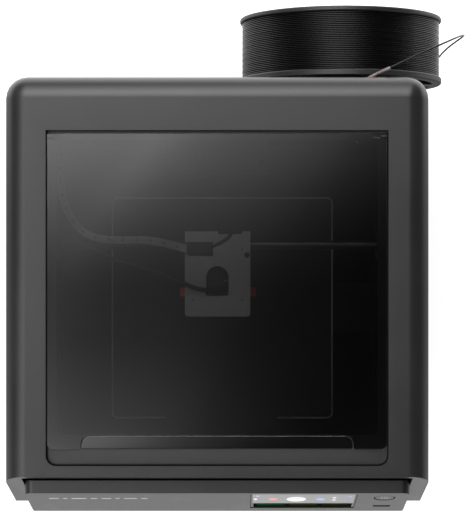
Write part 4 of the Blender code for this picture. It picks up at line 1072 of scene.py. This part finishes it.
for number, (start, end, colour) in enumerate(BAR_MARKS):
    mark = flat_shape((start, end), (48.5, 52.5), 1.5, (INK[1], INK[1] + 0.06))
    ink = printed(f"page mark {number + 1}", colour, 0.35, 0.3, 0.0)
    make(f"page_mark_{number + 1}", mark, ink, "chassis")
print("home page of", len(PAGE) + len(BAR_MARKS), "pieces")

# %% Power symbol and USB socket
BUTTON_X, BUTTON_DOWN, SOCKET_DOWN = 152.0, 20.0, 54.0


def power_symbol():
    """An open ring and a short bar: an arc of points out and back at two radii, raised as a flat tile."""
    turn = np.linspace(np.radians(-50), np.radians(230), 40)
    arc = [radius * np.stack([np.cos(turn), np.sin(turn)], 1) for radius in (3.4, 2.7)]
    curve = np.concatenate([arc[0], arc[1][::-1]]) + (BUTTON_X, BUTTON_DOWN)
    bar = rectangle((BUTTON_X - 0.35, BUTTON_X + 0.35), (BUTTON_DOWN - 4.2, BUTTON_DOWN - 0.6), 0.3)
    return [on_slope(slab(flat, -0.24, -0.12, 0.02, 2)) for flat in (curve, bar)]


make("power_symbol", power_symbol(), printed("button symbol", (0.5, 0.5, 0.5)), "button")
outer = rectangle((BUTTON_X - 7.6, BUTTON_X + 7.6), (SOCKET_DOWN - 2.4, SOCKET_DOWN + 2.4), 0.8)
rim = [np.column_stack([inset(outer, i), np.full(len(outer), z)]) for i, z in [(0.0, -9.0), (0.0, -1.5)]]
rim += [np.column_stack([inset(outer, 0.35), np.full(len(outer), z)]) for z in (-1.5, -8.0)]
tongue = block((BUTTON_X - 6, BUTTON_X + 6), (SOCKET_DOWN - 1.7, SOCKET_DOWN - 0.2), (-8.5, -2.4), 0.2)
make("usb_shell", on_slope(lofted(rim)), FINISHES["dark steel"], "chassis")
make("usb_tongue", on_slope(tongue), FINISHES["black"], "chassis")
print("power symbol and socket fitted")

# %% [markdown]
# ## Details of the toolhead
#
# Through the lid the toolhead shows its cover with a deep screw well and small dimples, whose shade is
# painted as near-black discs, a black plug in a recess, a short lead to the sensor, and a small pale lever
# in the filament window. They are small blocks and turned pieces, and the lead is a ring carried along a
# short route. They all ride on the head.

# %% Toolhead: plug, lead, painted shade of the screw wells, and guard
head_low, head_high = millimetres("head_cover")
HEAD_TOP = head_high[2]
PLUG_FLOOR = HEAD_TOP - 4.5
plug_body = block((-28.5, -6.0), (41.2, 51.0), (PLUG_FLOOR + 0.05, HEAD_TOP - 1.0), 0.6)
rib_heights = (PLUG_FLOOR + 1, HEAD_TOP - 0.8)
plug_ribs = [block((x, x + 1.2), (41.0, 51.2), rib_heights, 0.2) for x in range(-26, -9, 4)]
make("head_plug", [plug_body, *plug_ribs], FINISHES["black"], "head")
lead_stops = [(-6.2, 47.5, HEAD_TOP - 2.2), (-2.0, 49.6, HEAD_TOP + 0.2), (4.0, 52.6, HEAD_TOP + 1.9)]
lead_stops += [(9.5, 56.4, HEAD_TOP + 1.8), (12.4, 60.2, HEAD_TOP - 0.8), (12.8, 61.4, HEAD_TOP - 6.0)]
head_lead = carried(ring(1.5, 12), smooth_route(lead_stops, 1.5))
make("head_lead", head_lead, FINISHES["rubber"], "head")
window_lever = block((5.6, 9.9), (16.4, 17.8), (396.5, 399.0), 0.4)
make("head_window_lever", window_lever, FINISHES["ptfe"], "head")
# Near-black discs just proud of the cover: painted shade for the deep screw well and the small dimples.
WELL_SHADE_FINISH = moulded("painted screw hole shade", (0.002, 0.002, 0.002), 0.6)
well_shade_disc = turned([(0, -1), (2.7, -1), (2.7, 0.06), (0, 0.06)], sides=24)
dimple_shade_disc = turned([(0, -1), (0.8, -1), (0.8, 0.05), (0, 0.05)], sides=12)
well_shade_discs = copies(well_shade_disc, [(26.9, 40.6, HEAD_TOP)])
dimple_shade_discs = copies(dimple_shade_disc, [(22.4, 46.1, HEAD_TOP), (-22.6, -0.6, HEAD_TOP), (22.4, -0.6, HEAD_TOP)])
make("head_well_shade", [well_shade_discs, dimple_shade_discs], WELL_SHADE_FINISH, "head")


def fan_guard(middle_y, middle_z, radii, depth):
    """Rings carried round the fan's axis, and four straight spokes across them."""
    turn = np.linspace(0, 2 * np.pi, 41)
    rings = []
    for radius in radii:
        route = np.stack([radius * np.cos(turn), np.full(41, middle_y), middle_z + radius * np.sin(turn)], 1)
        across = np.stack([np.cos(turn), 0 * turn, np.sin(turn)], 1)
        wire = ring(depth, 8)
        lap = route[:, None, :] + wire[None, :, :1] * across[:, None, :] + wire[None, :, 1:] * (0, 1, 0)
        rings.append(lofted(lap))
    spokes, length = [], radii[-1] - radii[0]
    for angle in np.radians([45, 135, 225, 315]):
        way = np.array([np.cos(angle), 0, np.sin(angle)])
        inner = np.array([0, middle_y, middle_z]) + way * radii[0]
        spokes.append(turned([(0, 0), (depth, 0), (depth, length), (0, length)], inner, way, 8))
    return [*rings, *spokes]


head_guard = fan_guard(head_low[1] - 0.05, 362.0, (4, 8.5, 13, 16.4), 0.55)
make("head_fan_guard", head_guard, FINISHES["black"], "head")
print("toolhead details fitted")

# %% [markdown]
# ## Inside the chamber
#
# The filter box at the rear wall has a slotted lid and two screws, the belt motors have bright end bells,
# and the belts run forward from the motors to pulleys at the front. All of it shows only as shades
# through the smoked lid, but it gives the inside its depth.

# %% Filter grille, motor bells, belts and front pulleys
BOX_TOP = millimetres("filter_box")[1][2]
rib_heights = (BOX_TOP - 0.5, BOX_TOP + 0.5)
slots = [block((x, x + 3.0), (124.0, 151.0), rib_heights, 0.4) for x in np.linspace(-28, 25, 10)]
make("filter_ribs", slots, FINISHES["black"], "chassis")
screws("filter_screws", [(x, 129.7, BOX_TOP) for x in (-41.5, 41.5)], (0, 0, 1), "chassis", 2.4)

MOTOR_X, MOTOR_Y, MOTOR_HALF = 155.0, 172.0, 21.3
BELT_Z, PULLEY_Y = 345.0, -141.0
PULLEY = [(0, 340), (7.5, 340), (7.5, 341.5), (6, 342), (6, 348), (7.5, 348.5), (7.5, 350), (0, 350)]
AXLE = [(0, 334), (2, 334), (2, 356), (0, 356)]
bells, belts, wheels = [], [], []
for side in SIDES:
    x = side * MOTOR_X
    across, along = (x - MOTOR_HALF, x + MOTOR_HALF), (MOTOR_Y - MOTOR_HALF, MOTOR_Y + MOTOR_HALF)
    body = rectangle(across, along, 4.6)
    bells += [slab(body, 279.8, 288.0, 0.8), slab(body, 311.5, 319.2, 0.8)]
    for belt_x in (x - 6.6, x + 6.6):
        belts.append(block((belt_x - 0.6, belt_x + 0.6), (PULLEY_Y, MOTOR_Y), (BELT_Z - 3, BELT_Z + 3), 0.3))
    wheels += [turned(PULLEY, (x, PULLEY_Y, 0), sides=32), turned(AXLE, (x, PULLEY_Y, 0), sides=16)]
make("motor_end_bells", bells, FINISHES["alloy"], "chassis")
make("drive_belts", belts, FINISHES["rubber"], "chassis")
make("front_pulleys", wheels, FINISHES["alloy"], "chassis")
print("filter, motors and belts detailed")

# %% [markdown]
# ## Inlet tube and the back
#
# The strand goes into a short milky tube that pokes out under the roof's rear edge. Lower down is the
# mains inlet, a moulded socket with three flat pins.

# %% Mains pins
PIN_PLACES = ((-147, 69), (-133, 69), (-140, 65))
pins = [block((x - 1, x + 1), (184, 197), (z - 2, z + 2), 0.3) for x, z in PIN_PLACES]
make("mains_pins", pins, FINISHES["steel"], "chassis")
print("back detailed")
